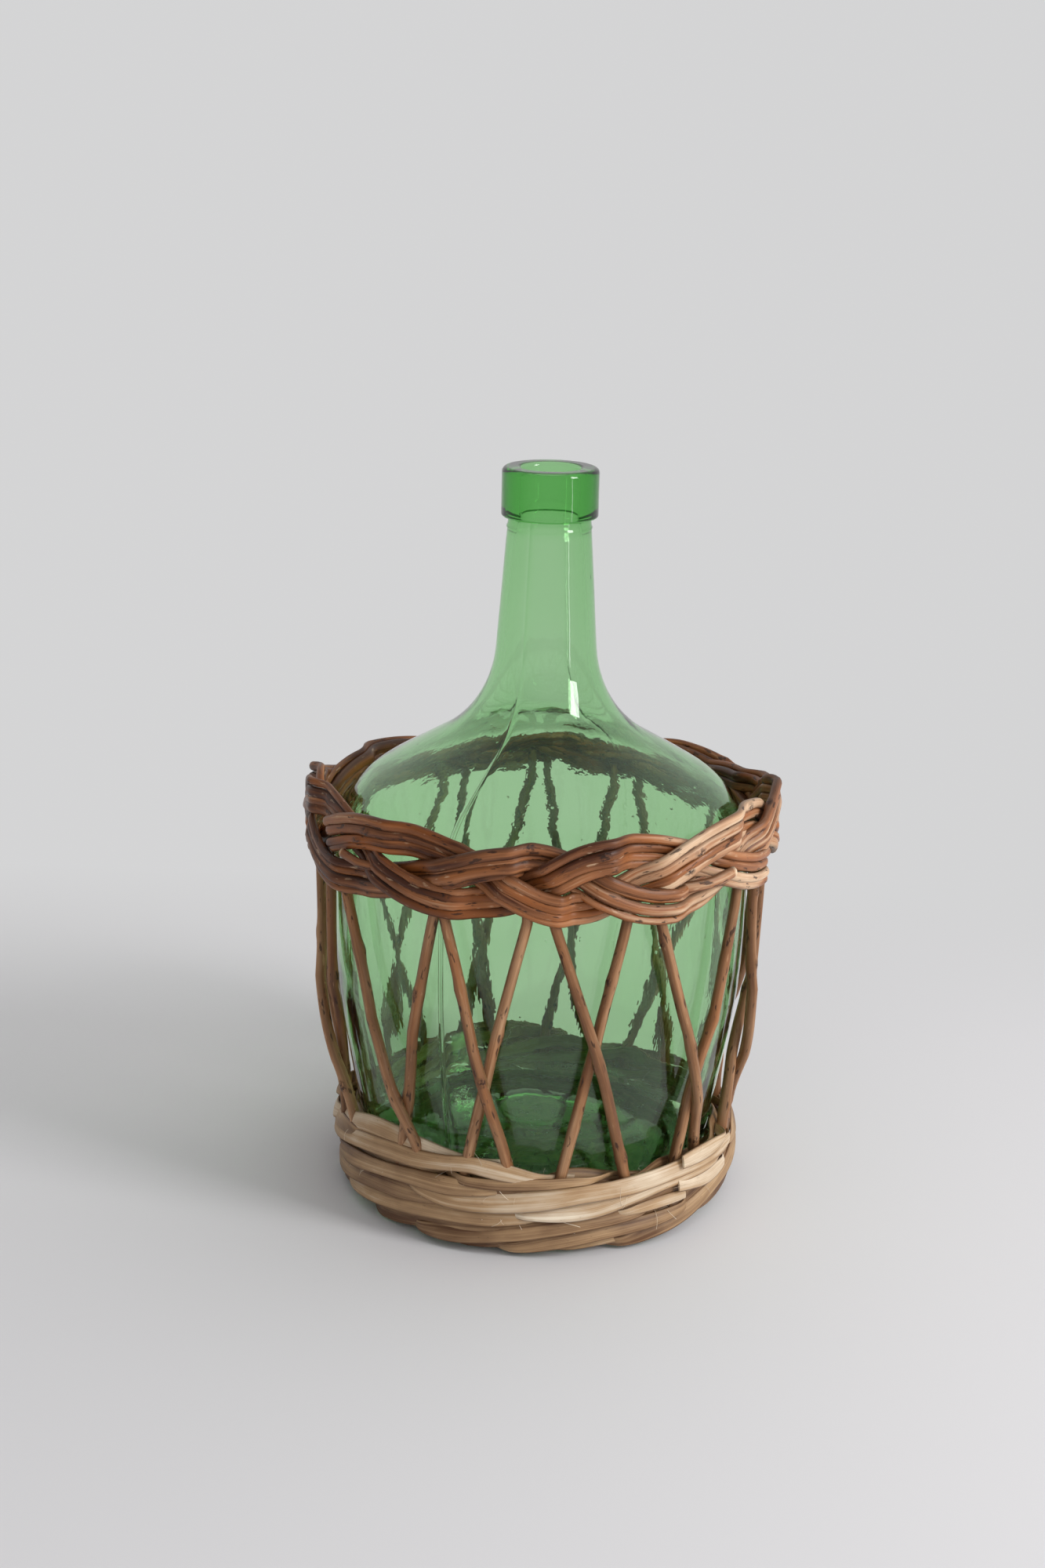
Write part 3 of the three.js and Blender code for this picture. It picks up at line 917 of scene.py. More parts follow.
def skein_finish(name, dark, middle, pale):
    material, tree = new_material(name)
    grain = attribute(tree, "grain", "Vector")
    fibre = streaks(grain, (800, 800, 9), 6.0, 0.7)
    stripe = streaks(grain, (330, 330, 5), 3.0)
    cloud = streaks(grain, (90, 90, 28), 3.0)
    shade = varied(attribute(tree, "tone"), (fibre, 0.9), (stripe, 0.5), (cloud, 0.9))
    colour = ramp(shade, [(0.0, dark), (0.45, middle), (0.95, pale)])
    # Painted shade: each skein is darkened towards its edges, where skeins lap over each other.
    edge_shade = remap(maths("ABSOLUTE", separate(grain)[1]), *SKEIN_SHADED_EDGE)
    speck = remap(streaks(grain, (900, 900, 320), 2.0), 0.68, 0.78)
    colour = layered(colour, (edge_shade, 0.85, dark), (speck, 0.5, SPECK))
    wood_surface(colour, fibre, fibre, (0.4, 0.58), 0.5)
    return material


pale_skein = skein_finish("pale_skein", (0.13, 0.054, 0.018), (0.47, 0.29, 0.145), (0.88, 0.76, 0.59))
print("skein finish:", pale_skein.name)

# %% [markdown]
# ## The foot band
# Twelve skeins make the band. Each starts inside at the bottom, comes out between two pairs of stakes,
# climbs gently to the right across four pairs and goes in again, where its tail slants down and backs the
# others. They are wider than their step, so each laps over the one below like a shingle. Where a skein
# passes between stakes it twists and narrows. A stack of rings would be quicker, but nothing in it would
# come out or go in. The band is highest left of the front and lowest behind.

# %% Routes of the foot band
SKEIN_WIDTH = 7.5
SKEIN_STEP = 7.8
INNER_SKEIN_RADIUS = 91.05
OUTER_SKEIN_RADIUS = 98.25
BAND_WIDTH = 8.8
SHINGLE_TILT = 17
SKEIN_SLOPE = SKEIN_STEP / PAIR_ANGLE
PAIRS_CROSSED = 4
SKEIN_RISE = PAIRS_CROSSED * SKEIN_STEP
SKEIN_START = 5
SKEIN_TURNING = 7
TWIST_NARROWING = 0.3
BAND_STEP = 1.5
BAND_LIFT = (0.13, -24, 26)
TAIL_START = 4
TAIL_DROP = 22
TAIL_REACH = 80
UNDER_OUTER = 0.8
BAND_TONES = (0.1, 0.72)
# Tails inside: dark as painted shade in the gaps, paler behind as painted light coming through the glass.
INNER_SHADE_TONE = 0.16
INNER_LIT_TONE_BEHIND = 0.45
BAND_DROP_BEHIND = 0.18


def skein_point(angle, radius, height, number, wide, tone, play=1.0, lean=1.0):
    """One point of a skein's route; play is how freely it may wander, lean the share of its tilt."""
    tilt = math.radians(lean * SHINGLE_TILT + wander(number + 15, angle / 20, 14))
    face = outward(angle) * math.cos(tilt) + Vector((0, 0, math.sin(tilt)))
    radius += play * (wander(number, angle / 22, 1.1) + wander(number + 80, 0.4, 1.4)) - foot_inset(height)
    wide *= 1 + wander(number + 70, angle / 24, 0.3) + wander(number + 70, 0.6, 0.3)
    height += play * (wander(number + 30, angle / 24, 2.4) + wander(number + 33, 0.5, 2.4))
    height *= 1 - BAND_DROP_BEHIND * backness(angle)
    height = max(height, wide * BAND_WIDTH / 2 + 0.1)
    tone += wander(number, 0.7, 0.7) + wander(number + 50, angle / 30, 0.3)
    return place(angle, radius, height), face, wide, clamp(tone, *BAND_TONES)


def foot_skein_route(k):
    comes_out = stick_angle(k) + PAIR_ANGLE / 2
    goes_in = comes_out + PAIRS_CROSSED * PAIR_ANGLE
    start = stick_angle(k) - PAIR_ANGLE / 2 + SKEIN_START
    end = goes_in + TAIL_REACH
    for share in shares(round((end - start) / BAND_STEP)):
        angle = lerp(start, end, share)
        out = smooth((angle - comes_out + SKEIN_TURNING) / (2 * SKEIN_TURNING))
        back = smooth((angle - goes_in + SKEIN_TURNING) / (2 * SKEIN_TURNING))
        radius = lerp(INNER_SKEIN_RADIUS, OUTER_SKEIN_RADIUS, out - back) - UNDER_OUTER
        climb = clamp((angle - comes_out) * SKEIN_SLOPE, 0, SKEIN_RISE)
        climb -= TAIL_DROP * smooth((angle - goes_in - TAIL_START) / TAIL_REACH)
        twist = rise_at(angle, 1, comes_out, SKEIN_TURNING) + rise_at(angle, 1, goes_in, SKEIN_TURNING)
        height = (SKEIN_WIDTH / 2 + climb) * (1 + rise_at(angle, *BAND_LIFT))
        # Painted shade on the inner tails, turning to painted light round the back.
        tone = lerp(INNER_SHADE_TONE, INNER_LIT_TONE_BEHIND, backness(angle))
        yield skein_point(angle, radius, height, k, 1 - TWIST_NARROWING * twist, tone)


print("one skein has", len(list(foot_skein_route(0))), "points")

# %% [markdown]
# Over the twelve the weaver laid shorter skeins, which is what one sees from outside, with a painted sheen
# that makes them palest in front.
# They follow no rule that one could write down, so their places are listed, and a smooth line goes
# through them. Each is written as how far it stands out, how wide it is, and a few places (angle, height)
# on its way. Both ends are tucked in. Where a new skein was joined, the spare end was cut off short, so a
# few have one free end that stands off a little: that end is the last place.

# %% Places of the outer skeins
OUTER_SKEINS = [
    (-2.4, 8.0, [(-112, 24), (-78, 33), (-55, 45), (-43, 47.4), (-34, 46.6), (-22, 45), (-6, 44)]),
    (0.9, 8.5, [(-108, 16), (-73, 29), (-55, 37), (-43, 40.6), (-35, 41.3), (-26, 43.2), (-15, 45.2),
                (12, 37.5)]),
    (1.3, 8.5, [(-84, 16), (-63, 23.5), (-44, 29.5), (-34, 32), (-23, 32.8), (-12, 34), (0, 35)]),
    (1.8, 7.5, [(-30, 38), (-20, 37.2), (-12, 37.2), (-4, 38.2), (4, 39), (10, 39.8), (15, 39.6), (26, 37)]),
    (1.9, 9.0, [(-44, 31), (-32, 28), (-24, 26.8), (-15, 27.6), (4, 31.4), (15, 33.4), (50, 35), (84, 29)]),
    (1.0, 8.0, [(-96, 4.5), (-68, 13.5), (-53, 19), (-42, 22), (-30, 23.6), (-16, 24)]),
    (1.5, 10.5, [(-78, 5.5), (-54, 11.5), (-38, 16.4), (-26, 18.8), (-12, 20.6), (-2, 21.6), (10, 21.6)]),
    (2.0, 10.5, [(-44, 5), (-29, 7), (-20, 8.6), (-13, 10.8), (-5, 13.6), (4, 16.5), (16, 18.6), (42, 20)]),
    (2.2, 7.5, [(-18, 4.5), (-5, 5.5), (5, 9), (17, 11.6), (28, 12.8), (42, 13), (58, 14)]),
    (2.6, 8.5, [(14, 4.5), (26, 5), (37, 8), (46, 9.8), (56, 13), (66, 16.5), (80, 21), (100, 27)]),
    (2.4, 7.5, [(-14, 25), (-4, 24), (4, 24.2), (17, 25.3), (27, 28.8), (37, 31.4), (50, 31.8), (74, 29)]),
    (1.0, 9.0, [(40, 6), (62, 8), (90, 14), (125, 27), (152, 33)]),
    (1.5, 9.0, [(66, 24), (90, 28), (118, 36), (140, 37)]),
    (1.2, 9.5, [(104, 8), (135, 16), (170, 27), (205, 33)]),
    (1.7, 9.0, [(150, 7), (185, 14), (222, 27), (246, 34)]),
    (0.8, 8.5, [(160, 30), (190, 36), (214, 37)]),
    (1.3, 9.5, [(196, 6), (226, 12), (262, 26), (288, 35)]),
    (0.9, 8.5, [(232, 28), (258, 36), (278, 38)]),
]
CUT_SKEINS = [
    (3.1, 8.0, [(76, 33), (63, 37), (51, 38.5), (43, 39.3)]),
    (3.0, 6.0, [(14, 17), (25, 20), (34, 21.5), (45, 21.8)]),
    (3.0, 6.5, [(78, 25), (66, 23.5), (56, 23.6), (48, 26), (42, 28)]),
    (2.0, 7.0, [(122, 20), (134, 24), (150, 26)]),
    (2.0, 6.5, [(240, 30), (226, 33), (214, 33)]),
]
print("outer skeins:", len(OUTER_SKEINS), "tucked in,", len(CUT_SKEINS), "cut short")

# %% A smooth line through places


def height_between(places, angle):
    """Height at an angle on a smooth line through places, which go one way round."""
    way = 1 if places[-1][0] > places[0][0] else -1
    last = len(places) - 2
    i = next((n for n in range(last) if way * angle <= way * places[n + 1][0]), last)
    (before, low), (start, from_height) = places[max(i - 1, 0)], places[i]
    (end, to_height), (after, high) = places[i + 1], places[min(i + 2, last + 1)]
    run = end - start
    slope_in = (to_height - low) / (end - before) * run
    slope_out = (high - from_height) / (after - start) * run
    s = clamp((angle - start) / run, 0, 1)
    curve = from_height * (1 + 2 * s) * (1 - s) ** 2 + to_height * s * s * (3 - 2 * s)
    return curve + slope_in * s * (1 - s) ** 2 - slope_out * s * s * (1 - s)


print("first outer skein at the left:", round(height_between(OUTER_SKEINS[0][2], -50), 1), "mm up")

# %% Routes of the outer skeins
TUCK_ANGLE = 13
FREE_END_STAND = 1.3
FREE_END_NARROWING = 0.25
OUTER_PLAY = 0.25
OUTER_TONE = 0.42
BAND_PAINTED_SHEEN = (0.08, 2, 26)
TUCKED_WIDTH = 0.45


def tucked_lean(from_end):
    """Tilt turned over near an end that dips, so that its lower edge slips under a neighbour."""
    return lerp(-1, 1, smooth((from_end - TUCK_ANGLE / 2) / TUCK_ANGLE))


def outer_skein_route(number, stand, width, places, is_cut):
    """Out from between the stakes, along its places, and in again or to a free end."""
    first, final = places[0][0], places[-1][0]
    comes_from_below = places[0][1] < places[1][1]
    dips_at_end = places[-1][1] < places[-2][1] - 1 and not is_cut
    for share in shares(round(abs(final - first) / BAND_STEP)):
        angle = lerp(first, final, share)
        from_start, to_end = abs(angle - first), abs(final - angle)
        near_end = from_start if is_cut else min(from_start, to_end)
        radius = lerp(INNER_SKEIN_RADIUS, OUTER_SKEIN_RADIUS + stand, smooth(near_end / TUCK_ANGLE))
        wide = width / BAND_WIDTH * lerp(TUCKED_WIDTH, 1, smooth(near_end / (2 * TUCK_ANGLE)))
        if is_cut:
            radius += FREE_END_STAND * share ** 6
            wide *= 1 - FREE_END_NARROWING * share ** 8
        lean = tucked_lean(from_start) if comes_from_below else 1
        lean = min(lean, tucked_lean(to_end) if dips_at_end else 1)
        height = height_between(places, angle)
        # Painted sheen: the outer skeins are made paler round the front.
        tone = OUTER_TONE + rise_at(angle, *BAND_PAINTED_SHEEN)
        yield skein_point(angle, radius, height, 40 + number, wide, tone, OUTER_PLAY, lean)


foot_routes = [foot_skein_route(k) for k in range(PAIRS)]
foot_routes += [outer_skein_route(number, *skein, False) for number, skein in enumerate(OUTER_SKEINS)]
foot_routes += [outer_skein_route(20 + number, *skein, True) for number, skein in enumerate(CUT_SKEINS)]
print("foot band:", len(foot_routes), "skeins")

# %% Foot band
band_sizes = {"Width": BAND_WIDTH * MM, "Seed": 5, "Material": pale_skein}
foot_band = grow(route_object("foot_routes", foot_routes), skein_tree, "foot_band", band_sizes)
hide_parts(*[f"foot_skein_{k + 1}" for k in range(PAIRS)])
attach(foot_band, "basket")

# %% [markdown]
# ## Loose fibres
# Shaved willow sheds hairs. Blender has hair of its own, but that isn't kept as faces. So a tree picks
# points on the band's faces and sets one short bent hair on each, turned at random but mostly lying along
# the surface, and makes them all real faces at its end.

# %% Fibres
HAIR_SWING = 0.5
HAIR_SIZES = (0.35, 1.2)
HAIR_TONE = 0.9


def make_fibre_tree():
    sizes = {"Density": 1800.0, "Length": 0.009, "Thickness": 0.00022, "Seed": 1}
    tree, given = new_geometry_tree("loose willow fibres", sizes)
    level = separate(made(tree, "GeometryNodeInputPosition"))[2]
    limits = {0: level, 1: given["Length"]}
    off_floor = made(tree, "FunctionNodeCompare", limits, operation="GREATER_THAN")
    inputs = {
        "Mesh": given["Geometry"],
        "Selection": off_floor,
        "Density": given["Density"],
        "Seed": given["Seed"],
    }
    spots = add(tree, "GeometryNodeDistributePointsOnFaces", inputs).outputs
    half = times(given["Length"], 0.5)
    bend = {
        "Start": combine(times(half, -1.0), 0.0, 0.0),
        "Middle": combine(0.0, 0.0, times(given["Length"], 0.35)),
        "End": combine(half, times(half, 0.5), 0.0),
        "Resolution": 6,
    }
    line = made(tree, "GeometryNodeCurveQuadraticBezier", bend)
    hair = store(sweep(line, ring(tree, 4, times(given["Thickness"], 0.5))), "tone", HAIR_TONE)
    swing = {0: (-HAIR_SWING, -HAIR_SWING, 0.0), 1: (HAIR_SWING, HAIR_SWING, 6.28), "Seed": given["Seed"]}
    swing = made(tree, "FunctionNodeRandomValue", swing, data_type="FLOAT_VECTOR")
    turns = {0: spots["Rotation"], 1: swing}
    size = {2: HAIR_SIZES[0], 3: HAIR_SIZES[1], "Seed": given["Seed"]}
    inputs = {
        "Points": spots["Points"],
        "Instance": hair,
        "Rotation": made(tree, "FunctionNodeRotateRotation", turns, rotation_space="LOCAL"),
        "Scale": add(tree, "FunctionNodeRandomValue", size).outputs[1],
    }
    return end_tree(made(tree, "GeometryNodeInstanceOnPoints", inputs), given["Material"])


fibre_source = show("fibre_source", foot_band.data.copy())
fibres = grow(fibre_source, make_fibre_tree(), "loose_fibres", {"Seed": 4, "Material": pale_skein})
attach(fibres, "basket")

# %% [markdown]
# ## The bottle
# The glass was blown into a two part mould. Its outline is a row of straight runs with rounded corners, both
# outside and inside, turned round the axis. A mould leaves a fine ridge up each side where its halves met
# and a ring under the collar, and hand blown glass is never even: its inside waves, which bends what is
# seen through it. Screw and Solidify modifiers could turn the outline and give it a wall, but both would
# make it even, so the script sets every ring of points. The wall is real, and light is coloured by the glass
# that it really passes.

# %% Rounded corners
ARC_STEP = 4


def rounded_outline(corners):
    """Straight runs through corners (radius, height, fillet), with each corner rounded."""
    outline = []
    for i, (radius, height, fillet) in enumerate(corners):
        corner = Vector((radius, height))
        if not fillet:
            outline.append(corner)
            continue
        back = Vector(corners[i - 1][:2]) - corner
        on = Vector(corners[i + 1][:2]) - corner
        room = min(back.length, on.length)
        back.normalize()
        on.normalize()
        turn = math.pi - math.acos(clamp(back.dot(on), -1, 1))
        cut = min(fillet * math.tan(turn / 2), 0.98 * room)
        size = cut / math.tan(turn / 2)
        centre = corner + (back + on).normalized() * (size / math.cos(turn / 2))
        first = corner + back * cut - centre
        sense = -1 if back.x * on.y - back.y * on.x > 0 else 1
        steps = max(3, math.ceil(math.degrees(turn) / ARC_STEP))
        for step in range(steps + 1):
            swing = sense * turn * step / steps
            c, s = math.cos(swing), math.sin(swing)
            outline.append(centre + Vector((c * first.x - s * first.y, s * first.x + c * first.y)))
    return outline


corner_points = len(rounded_outline([(0, 0, 0), (10, 0, 2), (10, 10, 0)]))
print("a square corner is rounded by", corner_points - 2, "points")

# %% Inside of the wall and points for waves
LONGEST_RUN = 4


def inside_corners(corners, walls):
    """Corners of a wall's inside, from those of its outside and the wall of each run."""
    runs = []
    for i, wall in enumerate(walls):
        start = Vector(corners[i][:2])
        along = (Vector(corners[i + 1][:2]) - start).normalized()
        inward = Vector((-along.y, along.x))
        runs.append((start + inward * wall, along, inward))
    inside = []
    for i in range(1, len(runs)):
        last_start, last_along, _ = runs[i - 1]
        start, along, inward = runs[i]
        meet = last_start + last_along * ((start - last_start).dot(inward) / last_along.dot(inward))
        fillet = corners[i][2]
        wall = max(walls[i - 1], walls[i])
        hollow = last_along.x * along.y - last_along.y * along.x > 0
        inside.append((meet.x, meet.y, max(fillet - wall, wall / 2) if hollow else fillet + wall))
    return inside


def divided(outline, longest=LONGEST_RUN):
    """Split long straight runs, so that the glass has points everywhere to wave with."""
    finer = [outline[0]]
    for point in outline[1:]:
        last = finer[-1]
        parts = max(1, math.ceil((point - last).length / longest))
        finer.extend(last.lerp(point, s / parts) for s in range(1, parts + 1))
    return finer


print("straight runs are split at", LONGEST_RUN, "mm")

# %% Bottle outline
BOTTLE_HEIGHT = 340
PUNT_HEIGHT = 15
PUNT_RADIUS = 19
STANDING_RADIUS = 67
SHOULDER_HEIGHT = 184
NECK_ROOT = (25.7, 227.3)
NECK_TOP_RADIUS = 19.1
COLLAR_RADIUS = 22.4
COLLAR_HEIGHT = 22.8
COLLAR_EDGE = 2.5
BORE_RADIUS = 13.5
BODY_WALL = 3.6
BASE_WALL = 5.6
NECK_WALL = 3.4
THROAT_HEIGHT = 9
LONGEST_NECK_RUN = 0.6
collar_foot = BOTTLE_HEIGHT - COLLAR_HEIGHT
bore_foot = (BORE_RADIUS, collar_foot + COLLAR_EDGE, 0)
outside_corners = [
    (0, PUNT_HEIGHT, 0),
    (PUNT_RADIUS, PUNT_HEIGHT, 25),
    (STANDING_RADIUS, 0, 10),
    (FOOT_RADIUS, 0, 13.5),
    (BODY_RADIUS, BELLY_HEIGHT, 314),
    (BODY_RADIUS, SHOULDER_HEIGHT, 42),
    (*NECK_ROOT, 54),
    (NECK_TOP_RADIUS, collar_foot, 0),
]
glass_walls = [BASE_WALL] * 3 + [BODY_WALL] * 3 + [NECK_WALL]
collar_corners = [
    (NECK_TOP_RADIUS, collar_foot, 0),
    (COLLAR_RADIUS, collar_foot, COLLAR_EDGE / 2),
    (COLLAR_RADIUS, BOTTLE_HEIGHT, COLLAR_EDGE),
    (BORE_RADIUS, BOTTLE_HEIGHT, 2),
    bore_foot,
]
lining_corners = [
    (0, PUNT_HEIGHT + BASE_WALL, 0),
    *inside_corners(outside_corners, glass_walls),
    (NECK_TOP_RADIUS - NECK_WALL, collar_foot - THROAT_HEIGHT, 8),
    (BORE_RADIUS, collar_foot, 4),
    bore_foot,
]
outer_outline = divided(rounded_outline(outside_corners)[:-1])
outer_outline += divided([outer_outline[-1], Vector((NECK_TOP_RADIUS, collar_foot))], LONGEST_NECK_RUN)[1:-1]
outer_outline += divided(rounded_outline(collar_corners))
inner_outline = divided(rounded_outline(lining_corners))[:-1][::-1]
print("bottle outline:", len(outer_outline), "points outside,", len(inner_outline), "inside")

# %% Seams and waves
SEAM_ANGLES = (-26, 154)
SEAM_WIDTH = 0.7
SEAM_HEIGHT = 0.4
SEAM_START = 4
SEAM_DIVISIONS = (-1.0, -0.6, -0.35, -0.15, 0, 0.15, 0.35, 0.6, 1.0)
SEAM_ROOM = 1.2
RING_BELOW_COLLAR = 4.5
RING_HEIGHT = 0.45
EVEN_DIVISIONS = 144
WAVE_OUTSIDE = (0.12, 14, 1)
WAVE_INSIDE = (0.5, 30, 2)
RIPPLE_INSIDE = (0.12, 10, 3)
WAVE_STRETCH = 1.7
WAVE_FADE_RADIUS = 30


def bottle_angles():
    """Even divisions round the bottle, with more of them beside each seam."""
    angles = [360 * s / EVEN_DIVISIONS for s in range(EVEN_DIVISIONS)]
    for seam in SEAM_ANGLES:
        angles = [angle for angle in angles if abs(turn_between(seam, angle)) > SEAM_ROOM]
        angles += [(seam + away) % 360 for away in SEAM_DIVISIONS]
    return sorted(angles)


def seam_ridge(angle, radius, height):
    """Height of the mould's seam at a point outside, none on the collar or under the foot."""
    if not SEAM_START < height < collar_foot:
        return 0
    away = min(abs(turn_between(seam, angle)) for seam in SEAM_ANGLES)
    ring_height = RING_HEIGHT * bell((height - collar_foot + RING_BELOW_COLLAR) / SEAM_WIDTH)
    return max(ring_height, SEAM_HEIGHT * bell(math.radians(away) * radius / SEAM_WIDTH))


def glass_wave(point, fade, size, length, seed):
    """Slow swelling of the glass, drawn out along its height; a wave is written (size, length, seed)."""
    drawn_out = WAVE_STRETCH * length
    spot = Vector((point.x / length, point.y / length, point.z / drawn_out + 9.1 * seed))
    return size * fade * noise.noise(spot)


def glass_push(angle, radius, height, is_outside):
    spot = Vector((radius * sine(angle), -radius * cosine(angle), height))
    fade = clamp(radius / WAVE_FADE_RADIUS, 0, 1)
    if is_outside:
        return seam_ridge(angle, radius, height) + glass_wave(spot, fade, *WAVE_OUTSIDE)
    return glass_wave(spot, fade, *WAVE_INSIDE) + glass_wave(spot, fade, *RIPPLE_INSIDE)


print("seam at the belly:", seam_ridge(SEAM_ANGLES[0], BODY_RADIUS, BELLY_HEIGHT), "mm high")

# %% Bottle mesh


def bottle_mesh():
    angles = bottle_angles()
    points, faces, rings = [], [], []
    whole = [(p, True) for p in outer_outline] + [(p, False) for p in inner_outline]
    for (radius, height), is_outside in whole:
        first = len(points)
        if radius < 0.01:
            points.append((0, 0, (height + BOTTLE_FOOT) * MM))
        else:
            for angle in angles:
                push = glass_push(angle, radius, height, is_outside)
                points.append(place(angle, radius + push, height + BOTTLE_FOOT))
        rings.append(range(first, len(points)))
    for lower, upper in zip(rings, rings[1:]):
        count = max(len(lower), len(upper))
        for s in range(count):
            t = (s + 1) % count
            if len(lower) == 1:
                faces.append((upper[t], upper[s], lower[0]))
            elif len(upper) == 1:
                faces.append((upper[0], lower[s], lower[t]))
            else:
                faces.append((lower[t], upper[t], upper[s], lower[s]))
    mesh = bpy.data.meshes.new("glass_bottle")
    mesh.from_pydata(points, [], faces)
    mesh.polygons.foreach_set("use_smooth", [True] * len(mesh.polygons))
    mesh.update()
    return mesh


bottle = show("glass_bottle", bottle_mesh())
print("glass_bottle:", len(bottle.data.vertices), "points")

# %% [markdown]
# ## Green glass
# The green isn't painted on: it is in the glass. Volume Absorption takes away red and blue for every
# millimetre that light travels inside, so that a thin wall is pale and the collar and the base are deep
# green. Lamps are let through by a clear shader that only their rays see, so that the basket's far side and
# the floor behind the bottle aren't left in the dark.

# %% Material for glass
GLASS_DENSITY = 120
GLASS_COLOUR = (0.117, 0.71, 0.035, 1)
GLASS_BEND = 1.5
LAMP_LIGHT_LEFT = (0.82, 0.68, 0.82, 1)


def blend(share, shader, other):
    return made(share.id_data, "ShaderNodeMixShader", {0: share, 1: shader, 2: other})


def glass_finish():
    material, tree = new_material("green_glass")
    where = add(tree, "ShaderNodeTexCoord").outputs["Object"]
    skin = streaks(where, (260, 260, 120), 2.0)
    cells = made(tree, "ShaderNodeTexVoronoi", {"Vector": stretched(where, (90, 90, 60)), "Scale": 1.0})
    seed = remap(cells, 0.0, 0.07, 1.0, 0.0)
    height = maths("MULTIPLY_ADD", seed, 0.8, times(skin, 0.2))
    inputs = {
        "Base Color": (1, 1, 1, 1),
        "Roughness": 0.0,
        "Transmission Weight": 1.0,
        "IOR": GLASS_BEND,
        "Normal": made(tree, "ShaderNodeBump", {"Strength": 0.2, "Distance": 0.0008, "Height": height}),
    }
    glass = made(tree, "ShaderNodeBsdfPrincipled", inputs)
    clear = made(tree, "ShaderNodeBsdfTransparent", {"Color": LAMP_LIGHT_LEFT})
    lamp_ray = add(tree, "ShaderNodeLightPath").outputs["Is Shadow Ray"]
    inside = made(tree, "ShaderNodeVolumeAbsorption", {"Color": GLASS_COLOUR, "Density": GLASS_DENSITY})
    ends = {"Surface": blend(lamp_ray, glass, clear), "Volume": inside}
    add(tree, "ShaderNodeOutputMaterial", ends)
    return material


bottle.data.materials.append(glass_finish())
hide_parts("bottle")
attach(bottle, "bottle")
print("green glass, density", GLASS_DENSITY)

# %% [markdown]
# ## The mat under the bottle
# Nobody sees the mat until the bottle is lifted out. It could be woven again from routes, but its solids are
# right as they are, so they stay, with willow on them. Sticks run out from the middle and weavers run round
# it, so the grain is drawn on the distance from the middle and the angle round it, worked out from Object
# coordinates.

# %% Mat
MAT_RADIUS = 0.06
STICK_GRAIN = (18, 420, 420)
WEAVER_GRAIN = (600, 25, 600)


def mat_finish(name, dark, pale, scales):
    material, tree = new_material(name)
    x, y, z = separate(add(tree, "ShaderNodeTexCoord").outputs["Object"])
    away = vectors("LENGTH", combine(x, y, 0.0), output="Value")
    grain = combine(away, times(maths("ARCTAN2", y, x), MAT_RADIUS), z)
    fibre = streaks(grain, scales, 5.0, 0.65)
    cloud = streaks(grain, (60, 60, 60), 3.0)
    colour = ramp(varied(cloud, (fibre, 1.6)), [(0.2, dark), (0.8, pale)])
    wood_surface(colour, fibre, fibre, (0.4, 0.65), 0.6)
    return material


# The mat's browns are dark: partly painted shade for the dark under the bottle, partly old stained willow.
mat_stick = mat_finish("mat_stick", (0.05, 0.022, 0.009), (0.19, 0.1, 0.046), STICK_GRAIN)
mat_weaver = mat_finish("mat_weaver", (0.07, 0.035, 0.015), (0.26, 0.16, 0.085), WEAVER_GRAIN)
for name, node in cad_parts.items():
    if name.startswith(("base_", "slath_")):
        node.data.materials.clear()
        node.data.materials.append(mat_stick if "stick" in name else mat_weaver)
print("mat dressed")

# %% [markdown]
# ## Floor and light
# A pale floor, one soft lamp like a tall window to the right, and surroundings that are dimmer on the left.
# A picture of real surroundings could light the part, but lamps and plain tones can be set one by one.
# Rays that look straight at the surroundings, or see them through the glass, find an even pale grey, and the
# floor fades into the same grey. What shines in the glass is that grey behind and a darker tone in front.

# %% Floor
BACKDROP_TONE = (0.66, 0.66, 0.665)
FLOOR_COLOUR = (0.74, 0.73, 0.745, 1)
FLOOR_FADE = (0.5, 1.0)
FLOOR_FADE_BEHIND = (0.16, 0.42)
FLOOR_RADIUS = 1.3


def glow(tree, kind, strength, colour=(1, 1, 1)):
    return made(tree, kind, {"Color": (*colour, 1), "Strength": strength})


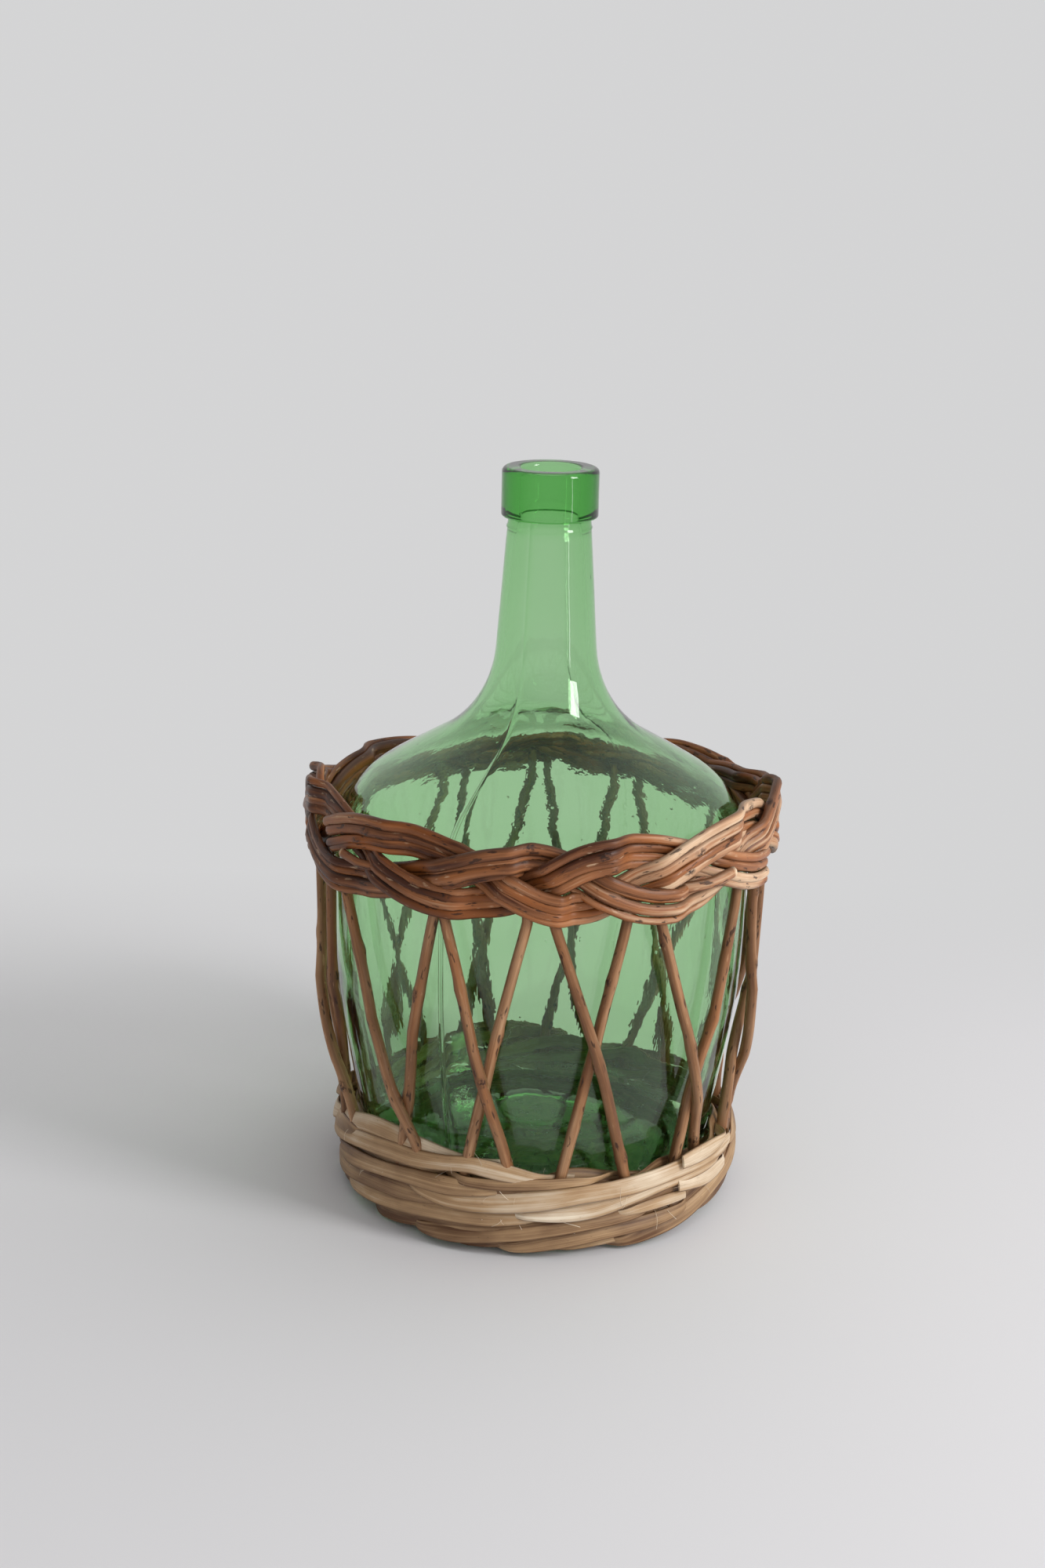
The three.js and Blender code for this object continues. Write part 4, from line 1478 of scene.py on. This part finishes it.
def make_floor():
    material, tree = new_material("pale_floor")
    plain = made(tree, "ShaderNodeBsdfPrincipled", {"Base Color": FLOOR_COLOUR, "Roughness": 0.9})
    where = add(tree, "ShaderNodeTexCoord").outputs["Object"]
    far = remap(vectors("LENGTH", where, output="Value"), *FLOOR_FADE)
    behind = remap(separate(where)[1], *FLOOR_FADE_BEHIND)
    rays = add(tree, "ShaderNodeLightPath").outputs
    sees = greatest(rays["Is Camera Ray"], rays["Is Glossy Ray"], rays["Is Transmission Ray"])
    backdrop = glow(tree, "ShaderNodeEmission", 1.0, BACKDROP_TONE)
    mixed = blend(times(greatest(far, behind), sees), plain, backdrop)
    add(tree, "ShaderNodeOutputMaterial", {0: mixed})
    mesh = bpy.data.meshes.new("floor")
    rim = [outward(-angle) * FLOOR_RADIUS for angle in range(0, 360, 5)]
    mesh.from_pydata(rim, [], [range(len(rim))])
    mesh.materials.append(material)
    floor = show("floor", mesh)


make_floor()
print("floor reaches", FLOOR_RADIUS, "m")

# %% Surroundings
FILL_LEFT = 0.22
FILL_RIGHT = 1.1
FRONT_TONE = 0.25


def make_world():
    world = bpy.data.worlds.new("studio")
    world.use_nodes = True
    tree = world.node_tree
    tree.nodes.clear()
    rays = add(tree, "ShaderNodeLightPath").outputs
    x, y, _ = separate(add(tree, "ShaderNodeTexCoord").outputs["Generated"])
    lit = glow(tree, "ShaderNodeBackground", remap(x, -0.9, 0.9, FILL_LEFT, FILL_RIGHT))
    mirrored = glow(tree, "ShaderNodeBackground", remap(y, -0.3, 0.4, FRONT_TONE, BACKDROP_TONE[0]))
    backdrop = glow(tree, "ShaderNodeBackground", 1.0, BACKDROP_TONE)
    shown = blend(rays["Is Glossy Ray"], lit, mirrored)
    shown = blend(greatest(rays["Is Camera Ray"], rays["Is Transmission Ray"]), shown, backdrop)
    add(tree, "ShaderNodeOutputWorld", {0: shown})
    scene.world = world


make_world()
print("surroundings:", scene.world.name)

# %% Window
WINDOW_DISTANCE = 1.7
WINDOW_PANE = (0.19, 0.8)
PANE_POWER = 6.5
WINDOW_SILL = (0.05, 0.4)
SILL_POWER = 0.4
LAMP_TARGET = 0.12


def area_light(name, azimuth, elevation, size, power):
    data = bpy.data.lights.new(name, "AREA")
    data.shape = "RECTANGLE"
    data.size, data.size_y = size
    data.energy = power
    lamp = show(name, data)
    lamp.location = outward(azimuth) * (WINDOW_DISTANCE * cosine(elevation))
    lamp.location.z = WINDOW_DISTANCE * sine(elevation)
    aim = Vector((0, 0, LAMP_TARGET)) - lamp.location
    lamp.rotation_euler = aim.to_track_quat("-Z", "Y").to_euler()
    lamp.visible_camera = False


area_light("window_left_pane", 56, 34, WINDOW_PANE, PANE_POWER)
area_light("window_right_pane", 64, 34, WINDOW_PANE, PANE_POWER)
area_light("window_sill", 54, 3, WINDOW_SILL, SILL_POWER)
print("window", WINDOW_DISTANCE, "m away")
